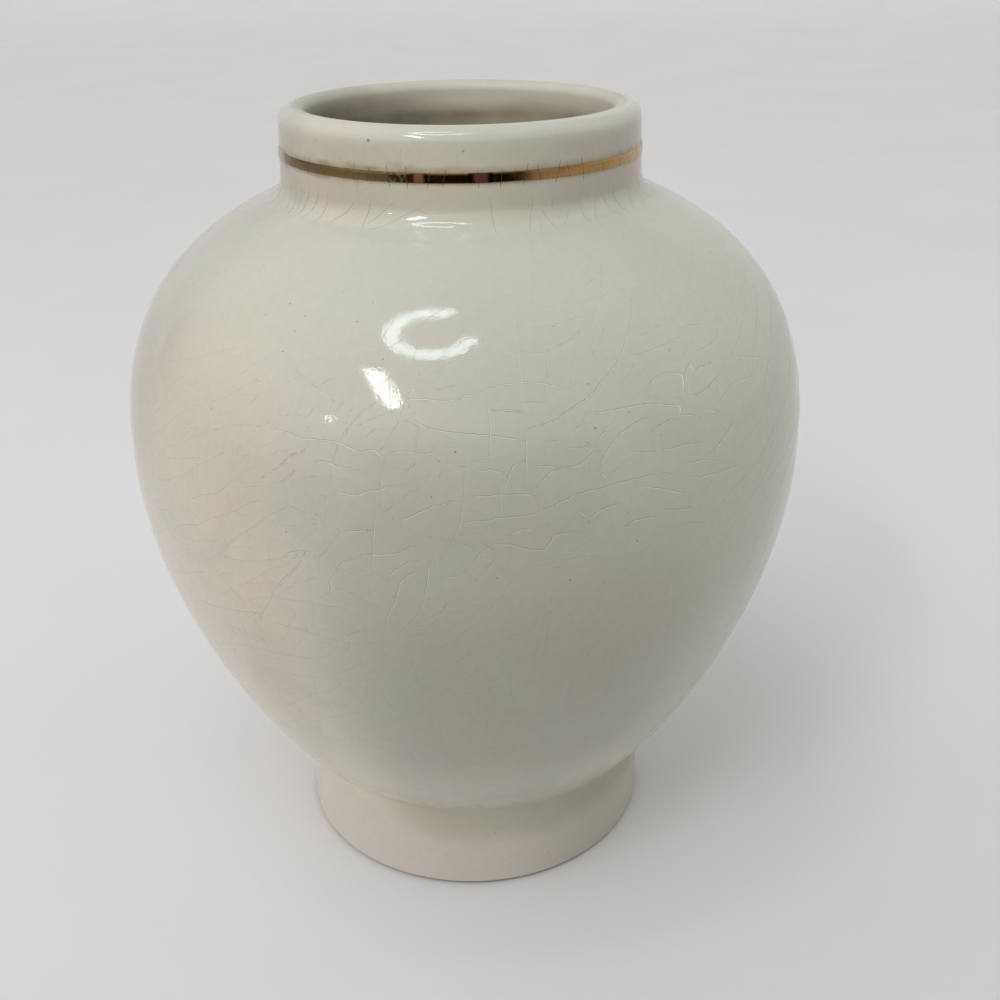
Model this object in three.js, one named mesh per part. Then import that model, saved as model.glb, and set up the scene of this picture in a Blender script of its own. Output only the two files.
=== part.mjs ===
// A small crackle glazed vase: a round shouldered belly on a foot ring, with a low collar, a coat
// of glaze inside and out, and a gilt line round the collar. Millimetres, +Z up. It stands on
// Z = 0, and every piece is turned round the Z axis.
import * as THREE from "three";

// Fired clay, from the foot up
const footHeight = 20.2; // rest to the crease under the belly
const footBaseRadius = 37.2;
const footTopRadius = 37.0;
const footRingWidth = 5.5;
const footEdgeBevel = 0.6;
const lowerBellyHeight = 69.2; // crease to the widest level
const bellyRadius = 65.6;
const shoulderRise = 48.7; // widest level to the root of the collar
const collarHeight = 14.8; // root of the collar to the top of the lip
const collarRadius = 32.5; // outside, at the lip
const collarFlare = 0.6; // how much wider the collar is at its root
const collarWall = 3.9;
const bellyWall = 3.8;
const floorThickness = 5.5;

// Slopes of the belly where it leaves the foot and where it meets the collar
const underBellySlope = THREE.MathUtils.degToRad(42);
const shoulderSlope = THREE.MathUtils.degToRad(22);

// How far the belly holds on to each of its directions before it turns, 0 to 1
const underBellyHold = 0.27;
const lowerWidestHold = 0.65;
const upperWidestHold = 0.34;
const shoulderHold = 1;

// Rounded corners of the clay
const creaseFillet = 6;
const shoulderFillet = 4.5;
const boreEdgeRadius = 3; // where the bore of the collar opens under the shoulder
const floorCorner = 7; // height over which the floor curves up into the wall
const lipOuterRadius = 1.9;
const lipInnerRadius = 1.3;

// Coats and joints
const glaze = 0.5;
const glazeLine = 0.9; // bare clay between the rest and the glaze
const slip = 0.4; // slip that joins the foot and the collar to the belly
const giltWidth = 1.6;
const giltThickness = 0.15;
const giltPlace = 0.44; // how far up the straight wall of the collar the gilt line lies, 0 to 1

// Steps that curves are cut into
const roundSteps = 36;
const bellySteps = 7;
const filletSteps = 3;

// Outlines are drawn in the half plane of radius and height.
const point = (radius, height) => new THREE.Vector2(radius, height);
const up = point(0, 1);
const outward = point(1, 0);
const inward = point(-1, 0);
const line = (from, to) => new THREE.LineCurve(from, to);
const past = (from, direction, distance) => from.clone().addScaledVector(direction, distance);

// The arc that rounds a corner of an outline, which comes in along one direction and leaves
// along another, with the points where it starts and ends
function roundedCorner(corner, into, out, radius) {
  const turnsLeft = into.cross(out) > 0;
  const reach = radius * Math.tan(into.angleTo(out) / 2);
  const start = past(corner, into, -reach);
  const end = past(corner, out, reach);
  const centre = past(start, point(-into.y, into.x), turnsLeft ? radius : -radius);
  const fromAngle = start.clone().sub(centre).angle();
  const toAngle = end.clone().sub(centre).angle();
  const arc = new THREE.EllipseCurve(
    centre.x, centre.y, radius, radius, fromAngle, toAngle, !turnsLeft);
  return { start, end, arc };
}

// A curve between two points that leaves and arrives along given directions and stays inside
// the corner in which they cross; each hold says how near to that corner it is drawn
function swelling(start, leaving, startHold, end, arriving, endHold) {
  const across = end.clone().sub(start);
  const toCorner = across.cross(arriving) / leaving.cross(arriving);
  const corner = past(start, leaving, toCorner);
  return new THREE.CubicBezierCurve(
    start, start.clone().lerp(corner, startHold), end.clone().lerp(corner, endHold), end);
}

// A run of samples along a curve: each a point and the direction square to the curve, to its right
function run(curve, steps, from = 0) {
  return Array.from({ length: steps + 1 }, (_, step) => {
    const along = from + (1 - from) * (step / steps);
    const tangent = curve.getTangentAt(along);
    return { at: curve.getPointAt(along), right: point(tangent.y, -tangent.x) };
  });
}

// Where the straight line through two points crosses a level
const atLevel = (from, to, level) => from.clone().lerp(to, (level - from.y) / (to.y - from.y));

// A straight run cut at levels between its ends, as one run for each stretch
function cutWall(from, to, levels) {
  const stops = [from, ...levels.map((level) => atLevel(from, to, level)), to];
  return stops.slice(1).map((stop, i) => run(line(stops[i], stop), 1));
}

// Runs joined end to end, with each shared point once
const joined = (...runs) => runs.flatMap((part, i) => (i === 0 ? part : part.slice(1)));

// A run moved to its right, or to its left where the distance is negative
const moved = (samples, distance) => samples.map(
  ({ at, right }) => ({ at: past(at, right, distance), right }));

// How far along a curve its parallel, one inset to the left, rises to a level
function whereParallelReaches(curve, inset, level) {
  const heightAt = (along) => curve.getPointAt(along).y + curve.getTangentAt(along).x * inset;
  let low = 0;
  let high = 1;
  for (let halvings = 0; halvings < 40; halvings += 1) {
    const middle = (low + high) / 2;
    if (heightAt(middle) < level) low = middle;
    else high = middle;
  }
  return high;
}

// Levels
const widestLevel = footHeight + lowerBellyHeight;
const collarRoot = widestLevel + shoulderRise;
const clayTop = collarRoot + collarHeight;

// Outside of the foot and the crease above it
const footBase = point(footBaseRadius, 0);
const crease = point(footTopRadius, footHeight);
const upFoot = crease.clone().sub(footBase).normalize();
const underBelly = point(Math.cos(underBellySlope), Math.sin(underBellySlope));
const creaseCorner = roundedCorner(crease, upFoot, underBelly, creaseFillet);

// Outside of the collar and the fillet at its root
const collarFoot = point(collarRadius + collarFlare, collarRoot);
const lipCorner = point(collarRadius, clayTop);
const upCollar = lipCorner.clone().sub(collarFoot).normalize();
const upShoulder = point(-Math.cos(shoulderSlope), Math.sin(shoulderSlope));
const shoulderCorner = roundedCorner(collarFoot, upShoulder, upCollar, shoulderFillet);

// Outside of the belly, in two curves that meet at the widest level
const widest = point(bellyRadius, widestLevel);
const lowerBelly = swelling(
  creaseCorner.end, underBelly, underBellyHold, widest, up, lowerWidestHold);
const upperBelly = swelling(
  widest, up, upperWidestHold, shoulderCorner.start, upShoulder, shoulderHold);

// The lip, whose two roundings are never wider than their shares of the wall
const boreRadius = collarRadius - collarWall;
const boreTop = point(boreRadius, clayTop);
const outerRounding = Math.min(lipOuterRadius, 0.6 * collarWall);
const innerRounding = Math.min(lipInnerRadius, 0.35 * collarWall);
const lipOuter = roundedCorner(lipCorner, upCollar, inward, outerRounding);
const lipInner = roundedCorner(boreTop, up, outward, innerRounding);
const crown = lipOuter.end.clone().lerp(lipInner.end, 0.5);

// The slip joints lie where the straight walls of the foot and of the collar end.
const footJoint = creaseCorner.start.y;
const ringTop = footJoint - slip;
const collarJoint = shoulderCorner.end.y;
const collarBottom = collarJoint + slip;
const giltLevel = THREE.MathUtils.lerp(collarBottom, lipOuter.start.y, giltPlace);
const giltBottom = giltLevel - giltWidth / 2;
const giltTop = giltLevel + giltWidth / 2;

// Outside of the clay, from the bevel at the rest to the crown of the lip
const footWallBase = past(footBase, upFoot, footEdgeBevel);
const [bareFootRun, footWallRun, footSeamRun] = cutWall(
  footWallBase, creaseCorner.start, [glazeLine, ringTop]);
const bellyRun = joined(
  run(creaseCorner.arc, filletSteps),
  run(lowerBelly, bellySteps),
  run(upperBelly, bellySteps),
  run(shoulderCorner.arc, filletSteps));
const [collarSeamRun, underGiltRun, giltRun, overGiltRun] = cutWall(
  shoulderCorner.end, lipOuter.start, [collarBottom, giltBottom, giltTop]);
const collarRun = joined(
  underGiltRun, giltRun, overGiltRun,
  run(lipOuter.arc, filletSteps), run(line(lipOuter.end, crown), 1));

// Inside of the belly wall, parallel to its outside
const floorLevel = footJoint + floorThickness;
const wallStart = whereParallelReaches(lowerBelly, bellyWall, floorLevel + floorCorner);
const innerWallRun = moved(
  joined(run(lowerBelly, bellySteps, wallStart), run(upperBelly, bellySteps)), -bellyWall);

// Floor, which curves up into the foot of that wall
const wallFoot = innerWallRun[0];
const upWall = point(-wallFoot.right.y, wallFoot.right.x);
const floorTurn = past(wallFoot.at, upWall, (floorLevel - wallFoot.at.y) / upWall.y);
const floorEdge = past(floorTurn, inward, floorCorner);
const floorCurve = new THREE.QuadraticBezierCurve(floorEdge, floorTurn, wallFoot.at);
const floorRun = joined(
  run(line(point(0, floorLevel), floorEdge), 1),
  run(floorCurve, filletSteps));

// Underside of the shoulder and the bore of the collar
const wallHead = innerWallRun.at(-1).at;
const boreFoot = past(wallHead, upShoulder, (boreRadius - wallHead.x) / upShoulder.x);
const boreEdge = roundedCorner(boreFoot, upShoulder, up, boreEdgeRadius);
const [boreRun, boreSeamRun, collarBoreRun] = cutWall(
  boreEdge.end, lipInner.start, [collarJoint, collarBottom]);
const bellyInsideRun = joined(
  floorRun, innerWallRun, run(line(wallHead, boreEdge.start), 1),
  run(boreEdge.arc, filletSteps), boreRun);
const collarInsideRun = joined(
  collarBoreRun, run(lipInner.arc, filletSteps), run(line(lipInner.end, crown), 1));

// Recess in the foot ring, parallel to the outside of the foot
const recessBase = past(footBase, inward, footRingWidth);
const recessTop = past(creaseCorner.start, inward, footRingWidth);
const recessWallBase = past(recessBase, upFoot, footEdgeBevel);
const [bareRecessRun, recessWallRun, recessSeamRun] = cutWall(
  recessWallBase, recessTop, [glazeLine, ringTop]);
const recessRun = joined(recessWallRun, recessSeamRun);

const vase = new THREE.Group();
vase.rotation.x = Math.PI / 2; // turned outlines stand along Y until here

function addPiece(name, outline, material) {
  const distinct = outline.filter((at, i) => i === 0 || !at.equals(outline[i - 1]));
  const mesh = new THREE.Mesh(new THREE.LatheGeometry(distinct, roundSteps), material);
  mesh.name = name;
  vase.add(mesh);
}

const points = (samples) => samples.map(({ at }) => at);

// Outline of a ring, up its outer run and down its inner run
function ringBetween(inner, outer) {
  const outline = [...points(outer), ...points(inner).reverse()];
  return [...outline, outline[0]];
}

const material = (color, roughness, metalness = 0) => (
  new THREE.MeshStandardMaterial({ color, roughness, metalness }));

// Clay belly, closed below by its own floor
addPiece("clay_belly", [
  point(0, footJoint),
  ...points(bellyRun),
  ...points(bellyInsideRun).reverse(),
], material(0xcfc1a9, 0.9));

// Clay foot ring, bevelled at both edges of its bare rest
addPiece("clay_foot", [
  past(recessBase, outward, footEdgeBevel),
  past(footBase, inward, footEdgeBevel),
  ...points(joined(bareFootRun, footWallRun)),
  ...points(joined(bareRecessRun, recessWallRun)).reverse(),
  past(recessBase, outward, footEdgeBevel),
], material(0xc9b79c, 0.92));

// Clay collar with its rounded lip
addPiece("clay_neck", ringBetween(collarInsideRun, collarRun), material(0xcfc1a9, 0.9));

// Slip joints under the belly and under the collar
addPiece("foot_slip_seam", ringBetween(recessSeamRun, footSeamRun), material(0xbfae92, 0.92));
addPiece("neck_slip_seam", ringBetween(boreSeamRun, collarSeamRun), material(0xbfae92, 0.92));

// Outer glaze, from just above the rest to the crown of the lip
const outsideRun = joined(footWallRun, footSeamRun, bellyRun, collarSeamRun, collarRun);
const glazedOutside = moved(outsideRun, glaze);
addPiece("outer_glaze", ringBetween(outsideRun, glazedOutside), material(0xd8d5c3, 0.12));

// Inner glaze, over the floor and the walls up to the crown of the lip
const insideRun = joined(bellyInsideRun, boreSeamRun, collarInsideRun);
addPiece("inner_glaze", [
  ...points(insideRun),
  ...points(moved(insideRun, -glaze)).reverse(),
], material(0xd2cebb, 0.15));

// Base glaze, over the recess of the foot ring and the underside of the belly
const [glazedEdge, , glazedHead] = points(moved(recessRun, -glaze));
const underside = footJoint - glaze;
addPiece("base_glaze", [
  point(0, underside),
  atLevel(glazedEdge, glazedHead, underside),
  glazedEdge,
  ...points(recessRun),
  point(0, footJoint),
], material(0xd2cebb, 0.2));

// Gilt line, fired on the outer glaze
const giltSeat = moved(giltRun, glaze);
const giltFace = moved(giltSeat, giltThickness);
addPiece("gold_band", ringBetween(giltSeat, giltFace), material(0xcf9a45, 0.25, 1));

export default vase;
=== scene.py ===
"""A small crackle glazed vase with a low collar, a gilt line and a turned foot ring."""

import bisect
import math
import random

import bpy
from mathutils import Matrix, Vector


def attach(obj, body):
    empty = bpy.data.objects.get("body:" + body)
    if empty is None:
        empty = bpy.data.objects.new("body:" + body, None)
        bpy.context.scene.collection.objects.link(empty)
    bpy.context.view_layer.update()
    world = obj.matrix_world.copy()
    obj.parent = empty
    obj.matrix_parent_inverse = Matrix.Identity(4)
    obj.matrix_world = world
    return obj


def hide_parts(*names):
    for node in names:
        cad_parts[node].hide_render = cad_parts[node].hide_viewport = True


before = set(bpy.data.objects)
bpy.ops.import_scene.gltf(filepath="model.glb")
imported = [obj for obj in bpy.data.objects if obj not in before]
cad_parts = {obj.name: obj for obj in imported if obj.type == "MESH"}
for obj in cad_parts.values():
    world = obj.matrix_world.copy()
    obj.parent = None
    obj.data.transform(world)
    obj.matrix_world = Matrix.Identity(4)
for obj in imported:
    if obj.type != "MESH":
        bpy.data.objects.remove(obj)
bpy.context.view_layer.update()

MM = 0.001

# Sizes of the vase in millimetres, from the foot up
FOOT_HEIGHT = 20.2
FOOT_BASE_RADIUS = 37.2
FOOT_TOP_RADIUS = 37.0
FOOT_RING_WIDTH = 5.5
FOOT_EDGE_BEVEL = 0.6
LOWER_BELLY_HEIGHT = 69.2
BELLY_RADIUS = 65.6
SHOULDER_RISE = 48.7
COLLAR_HEIGHT = 14.8
COLLAR_RADIUS = 32.5
COLLAR_FLARE = 0.6
COLLAR_WALL = 3.9
BELLY_WALL = 3.8
FLOOR_THICKNESS = 5.5
UNDER_BELLY_SLOPE = math.radians(42)
SHOULDER_SLOPE = math.radians(22)
UNDER_BELLY_HOLD = 0.27
LOWER_WIDEST_HOLD = 0.65
UPPER_WIDEST_HOLD = 0.34
SHOULDER_HOLD = 1.0
CREASE_FILLET = 6.0
SHOULDER_FILLET = 4.5
BORE_EDGE_RADIUS = 3.0
FLOOR_CORNER = 7.0
LIP_OUTER_RADIUS = 1.9
LIP_INNER_RADIUS = 1.3
GLAZE = 0.5
GLAZE_LINE = 0.9
SLIP = 0.4
GILT_WIDTH = 1.6
GILT_THICKNESS = 0.15
GILT_PLACE = 0.44

# How finely the surfaces are turned
ROUND_STEPS = 224
BELLY_STEPS = 64
FILLET_STEPS = 10
UNEVENNESS = 0.1  # how far the thrown walls stray from round, in millimetres
SAME_POINT, SAME_PLACE = 1e-4, 1e-3  # gaps within which two points of an outline or a body are one
SHARP_ABOVE = 0.6  # the bend, in radians, from which an edge stays sharp


# Outlines, in the half plane of radius and height. A run is a list of samples, each a point and
# the direction square to the run, to its right.

UP = Vector((0, 1))
OUTWARD = Vector((1, 0))
INWARD = Vector((-1, 0))


def right_of(tangent):
    tangent = tangent.normalized()
    return Vector((tangent.y, -tangent.x))


def straight(start, end, steps=1):
    side = right_of(end - start)
    return [(start.lerp(end, i / steps), side) for i in range(steps + 1)]


def rounded_corner(corner, into, out, radius, steps=FILLET_STEPS):
    """The arc that rounds a corner which is reached along one direction and left along another."""
    turn = into.angle(out)
    side = 1 if into.cross(out) > 0 else -1
    reach = radius * math.tan(turn / 2)
    start = corner - into * reach
    centre = start + Vector((-into.y, into.x)) * radius * side
    samples = []
    for i in range(steps + 1):
        swing = Matrix.Rotation(side * turn * i / steps, 2)
        samples.append((centre + swing @ (start - centre), right_of(swing @ into)))
    return samples


def bezier(start, near_start, near_end, end, t):
    s = 1 - t
    place = start * s ** 3 + near_start * (3 * s * s * t) + near_end * (3 * s * t * t) + end * t ** 3
    tangent = (near_start - start) * s * s + (near_end - near_start) * 2 * s * t + (end - near_end) * t * t
    return place, tangent


def swelling(start, leaving, start_hold, end, arriving, end_hold):
    """A curve that leaves and arrives along given directions, as a function of how far along it is."""
    corner = start + leaving * ((end - start).cross(arriving) / leaving.cross(arriving))
    near_start, near_end = start.lerp(corner, start_hold), end.lerp(corner, end_hold)

    def at(t):
        place, tangent = bezier(start, near_start, near_end, end, t)
        if tangent.length < 1e-9:
            tangent = arriving if t > 0.5 else leaving
        return place, right_of(tangent)

    return at


def run(curve, steps, start=0.0):
    return [curve(start + (1 - start) * i / steps) for i in range(steps + 1)]


def at_level(start, end, level):
    return start.lerp(end, (level - start.y) / (end.y - start.y))


def cut_wall(start, end, levels, steps=1):
    stops = [start, *(at_level(start, end, level) for level in levels), end]
    return [straight(a, b, steps) for a, b in zip(stops, stops[1:])]


def joined(*runs):
    whole = list(runs[0])
    for part in runs[1:]:
        whole += part[1:]
    return whole


def moved(samples, distance):
    return [(place + side * distance, side) for place, side in samples]


def places(samples):
    return [place for place, side in samples]


def ring_between(inner, outer):
    return places(outer) + places(inner)[::-1]


# Levels and corners
WIDEST_LEVEL = FOOT_HEIGHT + LOWER_BELLY_HEIGHT
COLLAR_ROOT = WIDEST_LEVEL + SHOULDER_RISE
CLAY_TOP = COLLAR_ROOT + COLLAR_HEIGHT

foot_base = Vector((FOOT_BASE_RADIUS, 0))
crease = Vector((FOOT_TOP_RADIUS, FOOT_HEIGHT))
up_foot = (crease - foot_base).normalized()
under_belly = Vector((math.cos(UNDER_BELLY_SLOPE), math.sin(UNDER_BELLY_SLOPE)))
crease_run = rounded_corner(crease, up_foot, under_belly, CREASE_FILLET)

collar_foot = Vector((COLLAR_RADIUS + COLLAR_FLARE, COLLAR_ROOT))
lip_corner = Vector((COLLAR_RADIUS, CLAY_TOP))
up_collar = (lip_corner - collar_foot).normalized()
up_shoulder = Vector((-math.cos(SHOULDER_SLOPE), math.sin(SHOULDER_SLOPE)))
shoulder_run = rounded_corner(collar_foot, up_shoulder, up_collar, SHOULDER_FILLET)

widest = Vector((BELLY_RADIUS, WIDEST_LEVEL))
lower_belly = swelling(crease_run[-1][0], under_belly, UNDER_BELLY_HOLD, widest, UP, LOWER_WIDEST_HOLD)
upper_belly = swelling(widest, UP, UPPER_WIDEST_HOLD, shoulder_run[0][0], up_shoulder, SHOULDER_HOLD)

bore_radius = COLLAR_RADIUS - COLLAR_WALL
bore_top = Vector((bore_radius, CLAY_TOP))
lip_outer_run = rounded_corner(lip_corner, up_collar, INWARD, LIP_OUTER_RADIUS)
lip_inner_run = rounded_corner(bore_top, UP, OUTWARD, LIP_INNER_RADIUS)
crown = lip_outer_run[-1][0].lerp(lip_inner_run[-1][0], 0.5)

foot_joint = crease_run[0][0].y
ring_top = foot_joint - SLIP
collar_joint = shoulder_run[-1][0].y
collar_bottom = collar_joint + SLIP
straight_wall_top = lip_outer_run[0][0].y
gilt_level = collar_bottom + (straight_wall_top - collar_bottom) * GILT_PLACE
gilt_bottom = gilt_level - GILT_WIDTH / 2
gilt_top = gilt_level + GILT_WIDTH / 2

# Outside of the clay, from the bevel at the rest to the crown of the lip
foot_wall_base = foot_base + up_foot * FOOT_EDGE_BEVEL
bare_foot, foot_wall, foot_seam = cut_wall(foot_wall_base, crease_run[0][0], [GLAZE_LINE, ring_top], 6)
belly_outside = joined(
    crease_run, run(lower_belly, BELLY_STEPS), run(upper_belly, BELLY_STEPS), shoulder_run)
collar_seam, under_gilt, gilt_wall, over_gilt = cut_wall(
    shoulder_run[-1][0], lip_outer_run[0][0], [collar_bottom, gilt_bottom, gilt_top], 3)
collar_outside = joined(
    under_gilt, gilt_wall, over_gilt, lip_outer_run, straight(lip_outer_run[-1][0], crown))

# Inside of the belly, parallel to its outside, with the floor curving up into it
floor_level = foot_joint + FLOOR_THICKNESS


def where_parallel_reaches(curve, inset, level):
    low, high = 0.0, 1.0
    for _ in range(40):
        middle = (low + high) / 2
        place, side = curve(middle)
        if place.y - side.y * inset < level:
            low = middle
        else:
            high = middle
    return high


wall_start = where_parallel_reaches(lower_belly, BELLY_WALL, floor_level + FLOOR_CORNER)
inner_wall = moved(
    joined(run(lower_belly, BELLY_STEPS // 2, wall_start), run(upper_belly, BELLY_STEPS // 2)), -BELLY_WALL)
wall_foot, wall_side = inner_wall[0]
up_wall = Vector((-wall_side.y, wall_side.x))
floor_turn = wall_foot + up_wall * ((floor_level - wall_foot.y) / up_wall.y)
floor_edge = floor_turn + INWARD * FLOOR_CORNER


def floor_curve(t):
    place = floor_edge * (1 - t) ** 2 + floor_turn * (2 * t * (1 - t)) + wall_foot * t * t
    return place, right_of((floor_turn - floor_edge) * (1 - t) + (wall_foot - floor_turn) * t)


floor_run = joined(straight(Vector((0, floor_level)), floor_edge, 8), run(floor_curve, FILLET_STEPS))

# Underside of the shoulder and the bore of the collar
wall_head = inner_wall[-1][0]
bore_foot = wall_head + up_shoulder * ((bore_radius - wall_head.x) / up_shoulder.x)
bore_edge = rounded_corner(bore_foot, up_shoulder, UP, BORE_EDGE_RADIUS)
bore_wall, bore_seam, collar_bore = cut_wall(
    bore_edge[-1][0], lip_inner_run[0][0], [collar_joint, collar_bottom], 3)
belly_inside = joined(floor_run, inner_wall, straight(wall_head, bore_edge[0][0]), bore_edge, bore_wall)
collar_inside = joined(collar_bore, lip_inner_run, straight(lip_inner_run[-1][0], crown))

# Recess in the foot ring, parallel to the outside of the foot
recess_base = foot_base + INWARD * FOOT_RING_WIDTH
recess_top = crease_run[0][0] + INWARD * FOOT_RING_WIDTH
bare_recess, recess_wall, recess_seam = cut_wall(
    recess_base + up_foot * FOOT_EDGE_BEVEL, recess_top, [GLAZE_LINE, ring_top], 3)
recess = joined(recess_wall, recess_seam)

outside = joined(foot_wall, foot_seam, belly_outside, collar_seam, collar_outside)
glazed_outside = moved(outside, GLAZE)
inside = joined(belly_inside, bore_seam, collar_inside)
glazed_inside = moved(inside, -GLAZE)


# Node building

def in_use(sockets, name=None):
    """The first socket, of that name if one is given, that the node's settings leave in use."""
    return next(s for s in sockets if s.enabled and name in (None, s.name))


def node_in(tree, kind, inputs=None, **settings):
    """A node with its settings, and each named or numbered input linked or set."""
    node = tree.nodes.new(kind)
    for name, value in settings.items():
        setattr(node, name, value)
    for name, value in (inputs or {}).items():
        socket = node.inputs[name] if isinstance(name, int) else in_use(node.inputs, name)
        if isinstance(value, Wire):
            tree.links.new(value.socket, socket)
        else:
            socket.default_value = value
    return node


def result(tree, kind, inputs=None, output=None, **settings):
    """What comes out of a new node, at its first output unless one is named."""
    return Wire(tree, in_use(node_in(tree, kind, inputs, **settings).outputs, output))


def arithmetic(operation):
    return lambda first, second: first.maths(operation, second)


class Wire:
    """What comes out of a node. Arithmetic on it adds the nodes that work out the answer."""

    def __init__(self, tree, socket):
        self.tree, self.socket = tree, socket

    def maths(self, operation, *others):
        return result(self.tree, "ShaderNodeMath", dict(enumerate((self, *others))), operation=operation)

    __add__, __sub__, __mul__ = arithmetic("ADD"), arithmetic("SUBTRACT"), arithmetic("MULTIPLY")
    __truediv__, __mod__ = arithmetic("DIVIDE"), arithmetic("MODULO")

    def vector(self, operation, *others):
        inputs = dict(enumerate((self, *others)))
        return result(self.tree, "ShaderNodeVectorMath", inputs, operation=operation)

    def part(self, axis):
        return result(self.tree, "ShaderNodeSeparateXYZ", {0: self}, axis)

    def noise(self, scale, detail=2.0, rough=0.5, distortion=0.0):
        return result(self.tree, "ShaderNodeTexNoise", {
            "Vector": self, "Scale": scale, "Detail": detail, "Roughness": rough, "Distortion": distortion})

    def band(self, low, high, at_low=0.0, at_high=1.0):
        """Passes softly from one value to another between two limits."""
        return result(self.tree, "ShaderNodeMapRange", {
            "Value": self, "From Min": low, "From Max": high, "To Min": at_low, "To Max": at_high},
            interpolation_type="SMOOTHSTEP")

    def between(self, rise_from, rise_to, fall_from, fall_to):
        """One inside two limits and nothing outside them, with soft edges."""
        return self.band(rise_from, rise_to) * self.band(fall_from, fall_to, 1, 0)

    def into(self, node, name):
        self.tree.links.new(self.socket, node.inputs[name])


def combined(tree, x, y, z=0.0):
    return result(tree, "ShaderNodeCombineXYZ", {"X": x, "Y": y, "Z": z})


def geometry_tree(name, inputs):
    """A tree of geometry nodes, and the wires of its geometry and of its named inputs."""
    tree = bpy.data.node_groups.new(name, "GeometryNodeTree")
    kinds = {"Geometry": "Geometry", **inputs, "Material": "Material"}
    for label, kind in kinds.items():
        tree.interface.new_socket(label, in_out="INPUT", socket_type=f"NodeSocket{kind}")
    tree.interface.new_socket("Geometry", in_out="OUTPUT", socket_type="NodeSocketGeometry")
    outputs = tree.nodes.new("NodeGroupInput").outputs
    return tree, {label: Wire(tree, outputs[label]) for label in kinds}


def close_tree(tree, geometry, material):
    """Ends a tree in real geometry of one material."""
    real = result(tree, "GeometryNodeRealizeInstances", {0: geometry})
    dressed = result(tree, "GeometryNodeSetMaterial", {"Geometry": real, "Material": material})
    dressed.into(tree.nodes.new("NodeGroupOutput"), 0)
    return tree


RINGS_SHARE = 0.1  # how much of the stray is in throwing rings


def thrown_stray():
    """How far a wall strays outwards from round, as a group that a turned piece and its trim share."""
    tree = bpy.data.node_groups.new("thrown stray", "GeometryNodeTree")
    tree.interface.new_socket("Stray", in_out="INPUT", socket_type="NodeSocketFloat")
    tree.interface.new_socket("Offset", in_out="OUTPUT", socket_type="NodeSocketVector")
    stray = Wire(tree, tree.nodes.new("NodeGroupInput").outputs["Stray"])
    place = result(tree, "GeometryNodeInputPosition")
    swell = place.noise(22.0, 1.0)
    rings = result(tree, "ShaderNodeTexNoise", {"W": place.part("Z"), "Scale": 190.0, "Detail": 1.0},
                   noise_dimensions="1D")
    flat = place.vector("MULTIPLY", (1, 1, 0))
    past_axis = result(tree, "ShaderNodeMapRange", {
        "Value": flat.vector("LENGTH"), "From Min": 0.0, "From Max": 20 * MM})
    distance = (swell - 0.5 + (rings - 0.5) * RINGS_SHARE) * stray * past_axis
    away = flat.vector("NORMALIZE")
    offset = result(tree, "ShaderNodeVectorMath", {0: away, "Scale": distance}, operation="SCALE")
    offset.into(tree.nodes.new("NodeGroupOutput"), 0)
    return tree


STRAY_GROUP = thrown_stray()


def strayed(geometry, stray):
    offset = result(stray.tree, "GeometryNodeGroup", {"Stray": stray}, node_tree=STRAY_GROUP)
    return result(stray.tree, "GeometryNodeSetPosition", {"Geometry": geometry, "Offset": offset})


def turned_body_tree():
    """Turns an outline, given as a line of points, round the Z axis."""
    tree, given = geometry_tree("turned body", {
        "Steps Round": "Int", "Outline Points": "Int", "Stray": "Float"})
    steps, points = given["Steps Round"], given["Outline Points"]
    grid = result(tree, "GeometryNodeMeshGrid", {"Vertices X": steps + 1, "Vertices Y": points})
    index = result(tree, "GeometryNodeInputIndex")
    drawn = result(tree, "GeometryNodeSampleIndex", {
        "Geometry": given["Geometry"], "Value": result(tree, "GeometryNodeInputPosition"),
        "Index": index % points}, data_type="FLOAT_VECTOR")
    angle = ((index + 0.5) / points).maths("FLOOR") / steps * math.tau
    radius = drawn.part("X")
    swung = combined(tree, radius * angle.maths("COSINE"), radius * angle.maths("SINE"), drawn.part("Z"))
    body = result(tree, "GeometryNodeSetPosition", {"Geometry": grid, "Position": swung})
    closed = result(tree, "GeometryNodeMergeByDistance", {
        "Geometry": body, "Distance": SAME_PLACE * MM})
    thrown = strayed(closed, given["Stray"])
    smooth = result(tree, "GeometryNodeSetShadeSmooth", {
        "Geometry": thrown, "Shade Smooth": True}, domain="FACE")
    sharp = result(tree, "GeometryNodeInputMeshEdgeAngle").maths("GREATER_THAN", SHARP_ABOVE)
    edges = result(tree, "GeometryNodeSetShadeSmooth", {
        "Geometry": smooth, "Selection": sharp, "Shade Smooth": False}, domain="EDGE")
    return close_tree(tree, edges, given["Material"])


TURNED_BODY = turned_body_tree()


def made_by(tree, source, **settings):
    """Runs a tree on an object and keeps the result as its plain mesh."""
    modifier = source.modifiers.new(tree.name, "NODES")
    modifier.node_group = tree
    for item in tree.interface.items_tree:
        label = item.name.lower().replace(" ", "_")
        if item.in_out == "INPUT" and label in settings:
            modifier[item.identifier] = settings[label]
    source.update_tag()
    bpy.context.view_layer.update()
    shown = source.evaluated_get(bpy.context.evaluated_depsgraph_get())
    mesh = bpy.data.meshes.new_from_object(shown)
    source.modifiers.remove(modifier)
    old = source.data
    source.data = mesh
    bpy.data.meshes.remove(old)


def new_object(name, vertices, edges=(), faces=()):
    mesh = bpy.data.meshes.new(name)
    mesh.from_pydata(vertices, edges, faces)
    item = bpy.data.objects.new(name, mesh)
    bpy.context.scene.collection.objects.link(item)
    return item


def faces_out(item):
    """Turns the faces of a closed mesh outwards, by the sign of the volume that they hold."""
    mesh = item.data
    volume = 0.0
    for face in mesh.polygons:
        corners = [mesh.vertices[i].co for i in face.vertices]
        for b, c in zip(corners[1:], corners[2:]):
            volume += corners[0].dot(b.cross(c))
    if volume < 0:
        mesh.flip_normals()


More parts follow.
